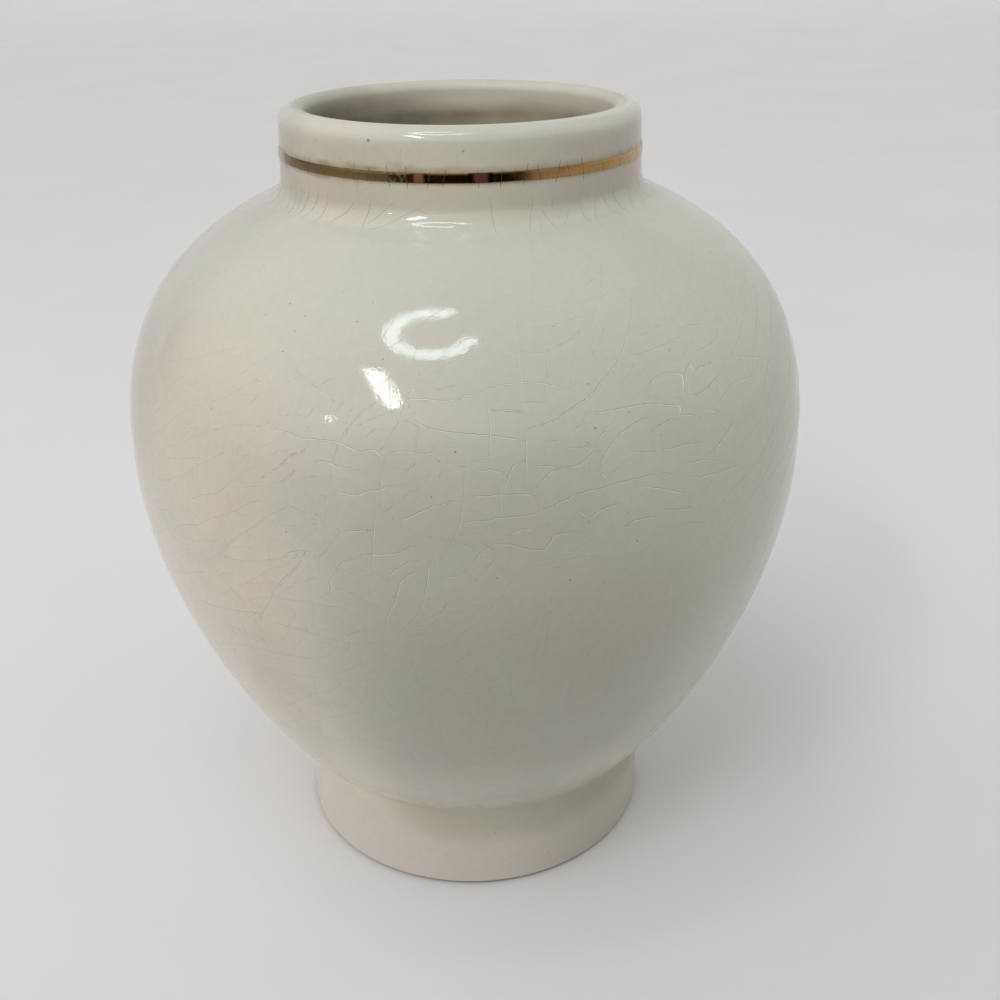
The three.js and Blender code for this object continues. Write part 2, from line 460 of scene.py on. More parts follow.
def turned(name, outline, material, closed=True):
    """A piece turned from its outline in millimetres; a closed outline returns to its start."""
    distinct = [p for i, p in enumerate(outline) if i == 0 or (p - outline[i - 1]).length > SAME_POINT]
    if closed:
        distinct.append(distinct[0])
    line = new_object(name, [(p.x * MM, 0, p.y * MM) for p in distinct])
    made_by(TURNED_BODY, line, steps_round=ROUND_STEPS, outline_points=len(distinct),
            stray=UNEVENNESS * MM, material=material)
    faces_out(line)
    return line


# Materials

GLAZE_IOR = 1.5


def finish(name, **values):
    """A material, its shader with the even values set on it, and the place on the piece."""
    made = bpy.data.materials.new(name)
    made.use_nodes = True
    shader = made.node_tree.nodes["Principled BSDF"]
    for label, value in values.items():
        shader.inputs[label].default_value = value
    return made, shader, result(made.node_tree, "ShaderNodeTexCoord", output="Object")


def blend(share, first, second, kind="MIX"):
    """One colour laid over another, each a wire or three numbers."""
    tree = next(value.tree for value in (share, first, second) if isinstance(value, Wire))
    first, second = (value if isinstance(value, Wire) else (*value, 1.0) for value in (first, second))
    return result(tree, "ShaderNodeMix", {"Factor": share, "A": first, "B": second},
                  data_type="RGBA", blend_type=kind)


def tinted(colour, tint, share=1.0):
    return blend(share, colour, tint, "MULTIPLY")


def bump(height, shader, strength, distance):
    result(height.tree, "ShaderNodeBump", {
        "Height": height, "Strength": strength, "Distance": distance}).into(shader, "Normal")


def attribute(tree, name):
    return result(tree, "ShaderNodeAttribute", output="Fac", attribute_name=name)


def bearing_of(place):
    """Angle round the vase from its front, in radians."""
    return place.part("X").maths("ARCTAN2", place.part("Y") * -1.0)


def side_of(place):
    """The bearing, which falls back to nothing towards the back, so that both sides meet there."""
    bearing = bearing_of(place)
    return bearing * bearing.maths("ABSOLUTE").band(1.7, 3.1, 1, 0)


def stretched_round(place):
    """The place with heights drawn out, so that a pattern on it runs round the vase."""
    return place.vector("MULTIPLY", (1.0, 1.0, 2.5))


# Tones of the glaze. Their limits are bearings in radians and levels in metres.
IVORY = (0.536, 0.533, 0.447)
IVORY_WARM = (0.581, 0.521, 0.418)
IVORY_COOL = (0.504, 0.509, 0.428)
# Olive and beige of the foot, partly painted shade and light; the foot shade is painted shade.
BEIGE_AND_LIGHT = (0.663, 0.61, 0.534)
OLIVE_AND_CREASE_SHADE = (0.546, 0.515, 0.404)
FOOT_SHADE = (0.78, 0.77, 0.74)
# Painted shade on the collar's sides and painted light on its front.
COLLAR_SHADE = (0.86, 0.82, 0.79)
FRONT_COLLAR_LIGHT = (1.05, 1.0, 0.95)
LINE_DIRT = (0.3, 0.245, 0.135)
TEA_SPOT = (0.2, 0.15, 0.06)
TEA_SPOT_PLACE = (-0.0223, 0.0171, 0.149)
# Painted shade deep in the bore, and more painted shade at its left.
BORE_DEEP_SHADE = (0.165, 0.142, 0.1)
LINING_SHADE = (0.6, 0.59, 0.56)
LINING_STAIN = (0.46, 0.41, 0.31)
BASE_STAIN = (0.52, 0.47, 0.38)
# The first share is painted warm light at the lower left of the belly; the others are pools, dirt and stain.
WARM_LIGHT_AT_LEFT_PAINTED, POOL_SHARE, SMEAR_SHARE, GRIME_SHARE, STAIN_SHARE = 0.55, 0.5, 0.9, 0.72, 0.55
# Painted shade in front of the belly and at its left edge, and painted light at its left and low down.
FRONT_SHADE_PAINTED, EDGE_SHADE_PAINTED, LIGHT_AT_LEFT_PAINTED, LOW_LIGHT_PAINTED = 0.13, 0.17, 0.14, 0.11
# Darker at the very bottom of the foot: partly dirt, partly painted contact shadow.
BASE_DIRT_AND_CONTACT_SHADE = (0.16, 0.14, 0.11)
LINE_FROM, LINE_TO = gilt_bottom * MM, gilt_top * MM


def ivory_body(place, level, side):
    """Clouded ivory, warm low down and cool in pools, with painted warm light at the lower left,
    painted light at the left and low down, and painted shade before the belly and at its left edge.
    """
    # The lower left gets painted warm light on top of the glaze's own warmth low down and in clouds.
    lower_left_warm_light = side.band(-0.6, -0.42, 1, 0) * level.band(0.088, 0.128, 1, 0.25)
    clouds = place.noise(17.0, 3.0).band(0.36, 0.64, -0.15, 0.25)
    warm_tone_and_light = level.band(0.088, 0.12, 0.4, 0.05) + lower_left_warm_light * WARM_LIGHT_AT_LEFT_PAINTED + clouds
    # Painted light at the left and low down; painted shade in front of the belly and at its left edge.
    painted_left_light = side.band(-0.52, -0.24, LIGHT_AT_LEFT_PAINTED, 0) * level.band(0.08, 0.108, 1, 0.1)
    painted_low_light = level.band(0.026, 0.048, LOW_LIGHT_PAINTED, 0)
    painted_front_shade = side.between(-0.5, -0.1, 0.4, 0.8) * level.between(0.03, 0.05, 0.075, 0.105)
    painted_edge_shade = side.band(-1.15, -0.86, EDGE_SHADE_PAINTED, 0) * level.band(0.08, 0.104, 0.45, 1)
    painted_light_and_shade = painted_left_light + painted_low_light - painted_front_shade * FRONT_SHADE_PAINTED - painted_edge_shade + 1.0
    colour = tinted(blend(warm_tone_and_light, IVORY, IVORY_WARM), painted_light_and_shade)
    pools = place.noise(41.0, 3.0, distortion=0.6).band(0.5, 0.72)
    return blend(pools * POOL_SHARE, colour, IVORY_COOL)


def foot_tones(colour, place, level, side):
    """Olive at the crease, mostly at the shaded right, then beige, higher at the lit left, both partly
    painted shade and light, and painted shade at the right.
    """
    ragged = level + place.noise(60.0) * 0.006
    # Olive kept mostly to the shaded right, beige raised at the lit left: partly painted shade and light.
    colour = blend(ragged.band(0.0215, 0.0265, 1, 0) * side.band(-0.75, -0.15), colour, OLIVE_AND_CREASE_SHADE)
    lit_beige_level = ragged + side.band(-0.75, -0.2, -0.006, 0)
    colour = blend(lit_beige_level.band(0.0125, 0.0185, 1, 0), colour, BEIGE_AND_LIGHT)
    # Painted shade on the right of the foot.
    return tinted(colour, FOOT_SHADE, ragged.band(0.02, 0.028, 1, 0) * side.band(0.1, 0.85))


def collar_tones(colour, place, level, side):
    """Collar with painted shade at its sides and painted light in front, with smears of old dirt round
    the gilt line and grime on it.
    """
    # Painted shade at the sides of the collar, painted light in front.
    in_front = side.maths("ABSOLUTE").band(0.1, 0.6, 1, 0)
    collar_light_and_shade = blend(in_front, COLLAR_SHADE, FRONT_COLLAR_LIGHT)
    colour = tinted(colour, collar_light_and_shade, level.between(0.1375, 0.1415, 0.1495, 0.152))
    by_line = level.between(LINE_FROM - 1.2 * MM, LINE_FROM, LINE_TO, LINE_TO + 2.2 * MM)
    smears = stretched_round(place).noise(240.0, 4.0).band(0.42, 0.62)
    colour = blend(by_line * smears * side.band(-0.5, 0.1, 1, 0.25) * SMEAR_SHARE, colour, LINE_DIRT)
    on_line = level.between(LINE_FROM - 0.6 * MM, LINE_FROM, LINE_TO - 0.2 * MM, LINE_TO + 1.3 * MM)
    grime = on_line * place.noise(130.0, 3.0).band(0.3, 0.6, 0.7, 1) * GRIME_SHARE
    return blend(grime, colour, LINE_DIRT)


def glaze_tone_group():
    """The colour of the glaze at any place, as a group that the coats and their cracks share."""
    tree = bpy.data.node_groups.new("glaze tone", "ShaderNodeTree")
    tree.interface.new_socket("Place", in_out="INPUT", socket_type="NodeSocketVector")
    tree.interface.new_socket("Color", in_out="OUTPUT", socket_type="NodeSocketColor")
    place = Wire(tree, tree.nodes.new("NodeGroupInput").outputs[0])
    level, side = place.part("Z"), side_of(place)
    colour = ivory_body(place, level, side)
    colour = foot_tones(colour, place, level, side)
    colour = collar_tones(colour, place, level, side)
    mottle = place.noise(700.0, 3.0).band(0.3, 0.7, 0.985, 1.015)
    tinted(colour, mottle).into(tree.nodes.new("NodeGroupOutput"), 0)
    return tree


GLAZE_TONE = glaze_tone_group()


def glaze_tone(place):
    return result(place.tree, "ShaderNodeGroup", {0: place}, node_tree=GLAZE_TONE)


def bore_shade_and_tea_drop(colour, place, level):
    """Painted shade deep in the bore below the mouth, brownish, deeper at the left and less on the lit
    right wall, with one drop of old tea at the back.
    """
    ragged, across = level + place.noise(45.0, 3.0) * 0.003, place.part("X")
    # Painted shade deep in the bore, less of it on the lit right wall.
    deep_shade = ragged.band(0.1483, 0.1514, 0.88, 0)
    lit_right = ragged.band(0.1468, 0.1492, 0.5, 0) * across.band(-0.014, 0.006)
    colour = blend(deep_shade - lit_right, colour, BORE_DEEP_SHADE)
    # More painted shade at the left of the bore, below the lip.
    shaded_left = across.band(-0.02, 0.002, 1, 0) * level.band(0.1497, 0.1522, 1, 0)
    colour = tinted(colour, LINING_SHADE, shaded_left)
    from_drop = place.vector("DISTANCE", TEA_SPOT_PLACE) + place.noise(800.0) * 0.001
    return blend(from_drop.band(0.0008, 0.0021, 0.75, 0), colour, TEA_SPOT)


def glaze_material(name, stain=None, deep_shade=False):
    """Glossy glaze with a fine peel, matter low on the foot and round the edge of the mouth."""
    made, shader, place = finish(name, IOR=GLAZE_IOR)
    colour, level = glaze_tone(place), place.part("Z")
    # The lining gets the painted shade of the bore.
    if deep_shade:
        colour = bore_shade_and_tea_drop(colour, place, level)
    if stain:
        colour = blend(place.noise(55.0, 4.0).band(0.35, 0.7) * STAIN_SHARE, colour, stain)
    colour.into(shader, "Base Color")
    radius = place.vector("MULTIPLY", (1, 1, 0)).vector("LENGTH")
    mouth_edge = radius.band(0.0298, 0.0312, 1, 0) * level.band(0.1485, 0.151)
    gloss = place.noise(260.0).band(0.3, 0.7, 0.05, 0.1)
    (gloss + level.band(0.02, 0.034, 0.3, 0) + mouth_edge * 0.45).into(shader, "Roughness")
    peel = place.noise(620.0) + place.noise(150.0) * 2.0 + place.noise(2600.0, 1.0) * 0.6
    bump(peel, shader, strength=0.22, distance=0.06 * MM)
    return made


def clay_material(name, pale, dark, grain=1500.0):
    made, shader, place = finish(name, Roughness=0.85)
    colour = blend(place.noise(120.0, 4.0).band(0.3, 0.7), pale, dark)
    # Darker at the very bottom: partly dirt, partly painted contact shadow where the foot meets the floor.
    colour = blend(place.part("Z").band(0.0006, 0.0016, 0.75, 0), colour, BASE_DIRT_AND_CONTACT_SHADE)
    grit = place.noise(grain).band(0.58, 0.72)
    blend(grit * 0.5, colour, tuple(0.5 * c for c in dark)).into(shader, "Base Color")
    bump(place.noise(grain, 4.0), shader, strength=0.5, distance=0.12 * MM)
    return made


# The dull and right tones and the shade of the gilt line are partly painted shade and painted reflection.
GILT_BRIGHT = (0.41, 0.24, 0.085)
RIGHT_GILT_REFLECTION = (0.58, 0.38, 0.17)
DULL_SHADED_GILT = (0.262, 0.18, 0.082)
GILT_SHADE = (0.7, 0.7, 0.66)
GILT_RUBBED = (0.5, 0.44, 0.33)
COPPER_TINGE = (0.36, 0.17, 0.08)
DARK_GRAIN_AND_REFLECTION = (0.03, 0.02, 0.012)
WORN_COPPER = (0.14, 0.05, 0.015)
WORN_RED = (0.065, 0.016, 0.005)

# Worn patches of the gilt line: bearing and half width in degrees, and the tone that shows
WORN_PATCHES = ((-12.0, 2.2, WORN_COPPER), (5.2, 2.9, WORN_RED))
PATCH_CORE, PATCH_HEART, PATCH_RIM = 0.6, 1.15, 1.6  # as shares of the half width
# The second share puts black grain densely where it paints the broken edge of a dark reflection.
COPPER_SHARE, REFLECTION_EDGE_GRAINS, GRAIN_EVERYWHERE, RUBBED_SHARE, WORN_ROUGHNESS = 0.6, 0.8, 0.12, 0.9, 0.5


def gilding_material():
    """Fired gold line, brushed round: bright at the right, brighter further round as painted reflection,
    dull at the left and front, partly painted shade, and worn through at the left.
    """
    made, shader, place = finish("fired gilding")
    along, bearing = stretched_round(place), bearing_of(place)
    # Duller at the left and front, brighter round the right: partly wear, partly painted shade and
    # reflection.
    colour = blend(bearing.between(-2.2, -1.5, -0.5, 0.25), GILT_BRIGHT, DULL_SHADED_GILT)
    colour = blend(bearing.between(0.75, 1.15, 2.2, 3.1), colour, RIGHT_GILT_REFLECTION)
    # Painted shade over the left and front of the line.
    colour = tinted(colour, GILT_SHADE, bearing.between(-3.1, -2.2, 0.28, 0.62))
    coarse = along.noise(130.0, 4.0, 0.6).band(0.52, 0.68)
    colour = blend(coarse * COPPER_SHARE, colour, COPPER_TINGE)
    grains = place.noise(1500.0, 3.0, 0.6).band(0.5, 0.54)
    # Black grain all round, denser at the edge of the dark card's mirror image as a painted reflection.
    grain_and_reflection_edge = bearing.between(-0.42, -0.3, -0.27, -0.22) * REFLECTION_EDGE_GRAINS + GRAIN_EVERYWHERE
    colour = blend(grains * grain_and_reflection_edge, colour, DARK_GRAIN_AND_REFLECTION)
    rubbed = bearing.between(-2.1, -1.6, -1.34, -1.12)
    colour = blend(rubbed, colour, GILT_RUBBED)
    worn = rubbed * RUBBED_SHARE
    for centre, half, tone in WORN_PATCHES:
        away = (bearing - math.radians(centre)).maths("ABSOLUTE")
        ragged = away + place.noise(900.0) * 0.02
        core, heart, rim = (math.radians(share * half) for share in (PATCH_CORE, PATCH_HEART, PATCH_RIM))
        colour = blend(ragged.band(heart, rim, 1, 0), colour, tone)
        worn = worn.maths("MAXIMUM", ragged.band(core, heart, 1, 0))
    colour.into(shader, "Base Color")
    (worn * -1.0 + 1.0).into(shader, "Metallic")
    dull = along.noise(400.0, 4.0).band(0.3, 0.75, 0.06, 0.22)
    dull.maths("MAXIMUM", worn * WORN_ROUGHNESS).into(shader, "Roughness")
    bump(along.noise(700.0, 3.0), shader, strength=0.2, distance=0.03 * MM)
    return made


# The pale upper side of a crack is painted light.
UPPER_LIGHT_SHARE = 0.64  # how far the pale side of a crack goes from the glaze's tone to its own


def crack_material(name, stain, upper_light, body=None):
    """Stain in a crack: painted light on its pale upper side, the dark stain on its lower edge partly
    painted shade. Without a body tone of its own it fades into the glaze with the depth of the crack."""
    made, shader, place = finish(name, Roughness=0.2, IOR=GLAZE_IOR)
    # Painted light on the upper side of the thread; the stain on the lower side is partly painted shade.
    lit_side = attribute(place.tree, "across")
    if body:
        clouds = place.noise(800.0).band(0.3, 0.7)
        colour = blend(lit_side, stain, blend(clouds, body, upper_light))
    else:
        tone = glaze_tone(place)
        thread = blend(lit_side, tinted(tone, stain), blend(UPPER_LIGHT_SHARE, tone, upper_light))
        colour = blend(attribute(place.tree, "depth"), tone, thread)
    colour.into(shader, "Base Color")
    return made


def two_toned(name, scale, detail, first, second, spread=0.2, **values):
    """A material that wanders between two near tones."""
    made, shader, place = finish(name, **values)
    wander = place.noise(scale, detail).band(0.5 - spread, 0.5 + spread)
    blend(wander, first, second).into(shader, "Base Color")
    return made, shader, place


crackle_glaze = glaze_material("crackle glaze")
lining_glaze = glaze_material("lining glaze", LINING_STAIN, deep_shade=True)
base_coat_glaze = glaze_material("base glaze", BASE_STAIN)
fired_clay = clay_material("bare fired clay", (0.62, 0.52, 0.4), (0.5, 0.4, 0.29))
joint_slip = clay_material("joining slip", (0.55, 0.45, 0.33), (0.46, 0.37, 0.27), 900.0)
fired_gilding = gilding_material()
crackle_stain = crack_material("crackle stain", (0.44, 0.4, 0.34), (0.98, 0.97, 0.9))
gilt_crack_stain = crack_material(
    "stain across the gilding", (0.03, 0.02, 0.015), (0.12, 0.085, 0.05), (0.06, 0.04, 0.03))
iron_speck, _, _ = two_toned("iron speck", 90.0, 2.0, (0.24, 0.215, 0.18), (0.4, 0.32, 0.22),
                             spread=0.15, Roughness=0.35, IOR=GLAZE_IOR)


# Turned pieces

def settle(piece, slot, *nodes):
    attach(piece, "root")
    if nodes:
        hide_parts(*nodes)


def turned_piece(name, outline, material, slot, node, closed=True):
    settle(turned(name, outline, material, closed), slot, node)


turned_piece("belly_clay", [Vector((0, foot_joint)), *places(belly_outside), *places(belly_inside)[::-1]],
             fired_clay, "fired_clay", "clay_belly", closed=False)
turned_piece("foot_ring_clay", [
    recess_base + OUTWARD * FOOT_EDGE_BEVEL, foot_base + INWARD * FOOT_EDGE_BEVEL,
    *places(joined(bare_foot, foot_wall)), *places(joined(bare_recess, recess_wall))[::-1]],
    fired_clay, "fired_clay", "clay_foot")
turned_piece("collar_clay", ring_between(collar_inside, collar_outside),
             fired_clay, "fired_clay", "clay_neck")
turned_piece("foot_joint_slip", ring_between(recess_seam, foot_seam),
             joint_slip, "joining_slip", "foot_slip_seam")
turned_piece("collar_joint_slip", ring_between(bore_seam, collar_seam),
             joint_slip, "joining_slip", "neck_slip_seam")
turned_piece("outer_glaze_coat", ring_between(outside, glazed_outside),
             crackle_glaze, "crackle_glaze", "outer_glaze")
turned_piece("inner_glaze_coat", places(inside) + places(glazed_inside)[::-1],
             lining_glaze, "lining_glaze", "inner_glaze", closed=False)

underside = foot_joint - GLAZE
glazed_recess = places(moved(recess, -GLAZE))
recess_corner = at_level(glazed_recess[0], glazed_recess[-1], underside)
turned_piece("base_glaze_coat", [
    Vector((0, underside)), recess_corner, glazed_recess[0], *places(recess), Vector((0, foot_joint))],
    base_coat_glaze, "lining_glaze", "base_glaze", closed=False)

gilt_seat = moved(gilt_wall, GLAZE)
gilt_face = places(moved(gilt_seat, GILT_THICKNESS))


def gilt_edge(seat, face, onward):
    """One rounded edge of the gilt line, from the glaze to its face."""
    rise, width, shoulder, sunk = 0.45, 0.14, 0.04, 0.025
    return [seat.lerp(face, rise), face + onward * shoulder - OUTWARD * sunk, face + onward * width]


turned_piece("gilt_line", [
    gilt_seat[0][0], *gilt_edge(gilt_seat[0][0], gilt_face[0], up_collar), *gilt_face[1:-1],
    *gilt_edge(gilt_seat[-1][0], gilt_face[-1], -up_collar)[::-1], *places(gilt_seat)[:0:-1]],
    fired_gilding, "gilding", "gold_band")


# Crackle, laid as fine threads of stain on the outer glaze

# Cracks of the front, each a line of bearings in degrees round from the front and heights in
# millimetres: first the long ones, which rise to the right, then the short ones between them
LONG_CRACKS = [
    [(-9, 118.2), (-3.9, 118), (-1, 118.3), (1.1, 118.8), (3.4, 119.5), (5.6, 120), (8.6, 120.1),
     (11.5, 119.6), (13.3, 119.1), (15.2, 118.8)],
    [(-7.4, 115.5), (-6, 114.5), (-3.9, 113.9), (-1.1, 113.6), (1.7, 113.4), (4.4, 112.9), (6.5, 112.5),
     (8.1, 112.3)],
    [(-30.7, 113.4), (-28.4, 112.3), (-25.8, 111.9), (-23.7, 111.6), (-21, 111.7), (-18, 111.5),
     (-16.5, 111), (-15, 110.4), (-12.9, 110.9), (-11.4, 109.4)],
    [(-30, 104.2), (-27, 106.5), (-25.5, 108.1), (-23.5, 109.4)],
    [(-22.6, 108.1), (-20, 108.4), (-17.8, 107.9), (-14.9, 108)],
    [(-19.2, 103.9), (-17, 103.9), (-15.1, 104), (-13.5, 104.9), (-9.3, 106)],
    [(-11.8, 109.7), (-10.7, 110.5), (-8.7, 110.9), (-5, 111), (-4.7, 112.1)],
    [(-10.1, 100.1), (-8, 101.2), (-6, 102.4), (-4, 103.2), (-1.9, 103.7), (-0.6, 103.7)],
    [(0.1, 108), (2.8, 108.2), (5.3, 107.5)],
    [(0.1, 104.6), (2.1, 104.3), (4.1, 104.4), (6.1, 104.4), (7.9, 104.2), (9.5, 103.3)],
    [(-1.3, 100), (1.3, 100.4), (4, 100.9), (6.7, 100.9), (8.7, 101), (10.1, 101.6), (12.2, 102.5),
     (15.1, 103.5), (18, 103.8), (20.3, 104), (23.4, 104.3), (26.7, 104), (29.6, 103.7)],
    [(-15.9, 93.6), (-13.7, 94.6), (-10.9, 94.8), (-8.8, 95.9), (-6.1, 96.7)],
    [(-15.9, 93.6), (-17.9, 92), (-19, 90), (-19.9, 88.6), (-19.6, 87.5), (-20.9, 85.7), (-21.7, 85.2)],
    [(0.5, 93.7), (1.6, 95.4), (3.3, 96.3), (5.5, 96.2), (7.3, 95.3), (9.8, 95), (11, 96.5), (11.2, 97.2),
     (12.8, 97.1), (14.7, 97.3)],
    [(8.3, 114.1), (10.1, 114.3), (12.1, 114.8), (13.9, 115.5), (16, 116.4), (18.1, 117.4), (20, 118.6),
     (22.4, 120), (25.5, 122.6), (27.9, 124.9), (30, 127.2), (31.1, 128.8)],
    [(-17.8, 98.1), (-15.7, 98.2), (-13.3, 98.7)],
    [(12.3, 129), (14.1, 129), (17, 129.2), (20.8, 129.1), (25.1, 129.4), (29.4, 129.8), (32.5, 129.7),
     (36.7, 129.4), (41.7, 129.4), (45.4, 129.4)],
    [(6, 123.8), (8.3, 123.5), (12.4, 123.7), (15, 124.2), (17.8, 125), (19.6, 125.8)],
    [(8.2, 126.9), (10.7, 126.7), (13.2, 126.7), (16, 126.9), (18.8, 127.2), (20.4, 127.4)],
    [(24.3, 121.4), (28, 121.4), (31.1, 121.7), (34, 122.1), (36.9, 122.4)],
    [(29.4, 124), (31.7, 124.3), (34.5, 124.6)],
    [(16.9, 115.2), (19.2, 114.9), (21.6, 114.9), (24, 115), (26.6, 114.8), (29.1, 114.3), (32.6, 113.4),
     (32.3, 112.3), (34.1, 111.6), (36.4, 110.9)],
    [(18.2, 107), (19.3, 108.8), (20.9, 110.7), (22.6, 111.9), (25.3, 112.7), (27.4, 112.9)],
    [(27, 111.2), (28.8, 111.6), (30.7, 111.9), (32.2, 111.7)],
    [(17.8, 110.8), (19.5, 112.1), (20.8, 113.4), (21.7, 114.1)],
    [(12.6, 110.3), (14.4, 110.4), (16.3, 110.4), (17.1, 110.9)],
    [(8.9, 105.4), (10.3, 106.3), (11.4, 107.2), (12.9, 107.5), (14.6, 107.7), (16.4, 108.3),
     (17.7, 109.5), (18.7, 109.6)],
    [(4.8, 105.3), (5.5, 107.5), (6.3, 108.9), (7.7, 109.5)],
    [(8, 108.6), (10.4, 108.4), (12.8, 108.2)],
    [(3.2, 116.5), (5.3, 116.4), (7.7, 116.2)],
    [(8, 117.4), (11.5, 117.3)],
    [(22.2, 109), (24.6, 108.2), (27.1, 108)],
    [(28.2, 107.6), (30, 107.6), (32, 107.6), (34.3, 107), (35.9, 107.3)],
    [(35.6, 105), (38.1, 105), (39.8, 106), (41.9, 107.2), (43.6, 109.1)],
    [(36.9, 112), (38.7, 111.2), (40.7, 110.3)],
    [(32.5, 102.3), (34.8, 101.4), (37.2, 101.3), (40.1, 101), (43.7, 100.6)],
    [(31.2, 104.9), (34.9, 104.2), (40.1, 102.4)],
    [(23.7, 102.9), (26.6, 102), (29.1, 101), (32.4, 99.2)],
    [(27.4, 98.5), (30, 97.3), (33.8, 96.5)],
    [(31, 94.7), (35.9, 93)],
    [(37.4, 123.7), (40.2, 123.5), (43.6, 122.8), (46.1, 122.2), (48.4, 120.8)],
    [(46.4, 122.1), (44.3, 120.6), (41.2, 120.1), (37.6, 120)],
    [(34.3, 116.9), (36.9, 118.8), (36.8, 117.8), (39.5, 117.8), (41.6, 118)],
    [(27.6, 116.8), (28.8, 118), (30.9, 118.4), (33.3, 118), (34.5, 117.5), (33.8, 115.3)],
    [(34, 114.8), (36.6, 114.2), (39, 114.7), (41.3, 115.6), (42.6, 116.2)],
    [(46.4, 117.9), (48.3, 117.1), (51.5, 116.1), (55.2, 115)],
    [(-6.2, 92), (-8, 91.5), (-9.5, 89.8), (-10.1, 87.6), (-10.6, 85.7), (-11.4, 84.2), (-12.3, 81.5)],
    [(-5.5, 94.1), (-5.9, 90.6), (-6.5, 86.9), (-7.9, 83.4), (-9, 81.5), (-10.3, 79.5), (-11.5, 76.8),
     (-12.9, 74.6), (-14.1, 73.5), (-16.2, 72.7), (-18.9, 70.9), (-20.4, 69.8)],
    [(6.3, 91.9), (5.2, 89.3), (3.8, 87.1), (2.5, 84.9), (1, 82.6), (-0.4, 81.5), (-2.5, 79.1), (-4, 78),
     (-5, 76.5)],
    [(-27.6, 91), (-25.8, 92.7), (-24.2, 93.3), (-22.3, 93.7)],
    [(-23.4, 93.1), (-24.4, 90.7), (-25.9, 88.5), (-28.2, 86), (-30, 83), (-31.9, 79.7), (-33.4, 77.4)],
    [(-11.1, 90.2), (-10.6, 91.7), (-9.3, 92.7), (-7.9, 93.7), (-6.8, 94.1)],
    [(-4.2, 91), (-2.2, 91.3), (-0.8, 92.4)],
    [(-3.6, 88.8), (-1.6, 89.4), (0.5, 90), (1.8, 91.9), (3.2, 93.6)],
    [(12.1, 92.5), (15, 92.7), (17.2, 92.6), (18.3, 92.2)],
    [(6.6, 92.2), (10, 92), (12.2, 91.8)],
    [(15, 100.6), (16.4, 99.3), (17.9, 100.1), (19.7, 100.4), (21.3, 100.8)],
    [(20.9, 96), (22.8, 97.3), (24.9, 97.4), (27.4, 96.9)],
    [(5, 98.1), (7.3, 98.4), (8.7, 98.5)],
]
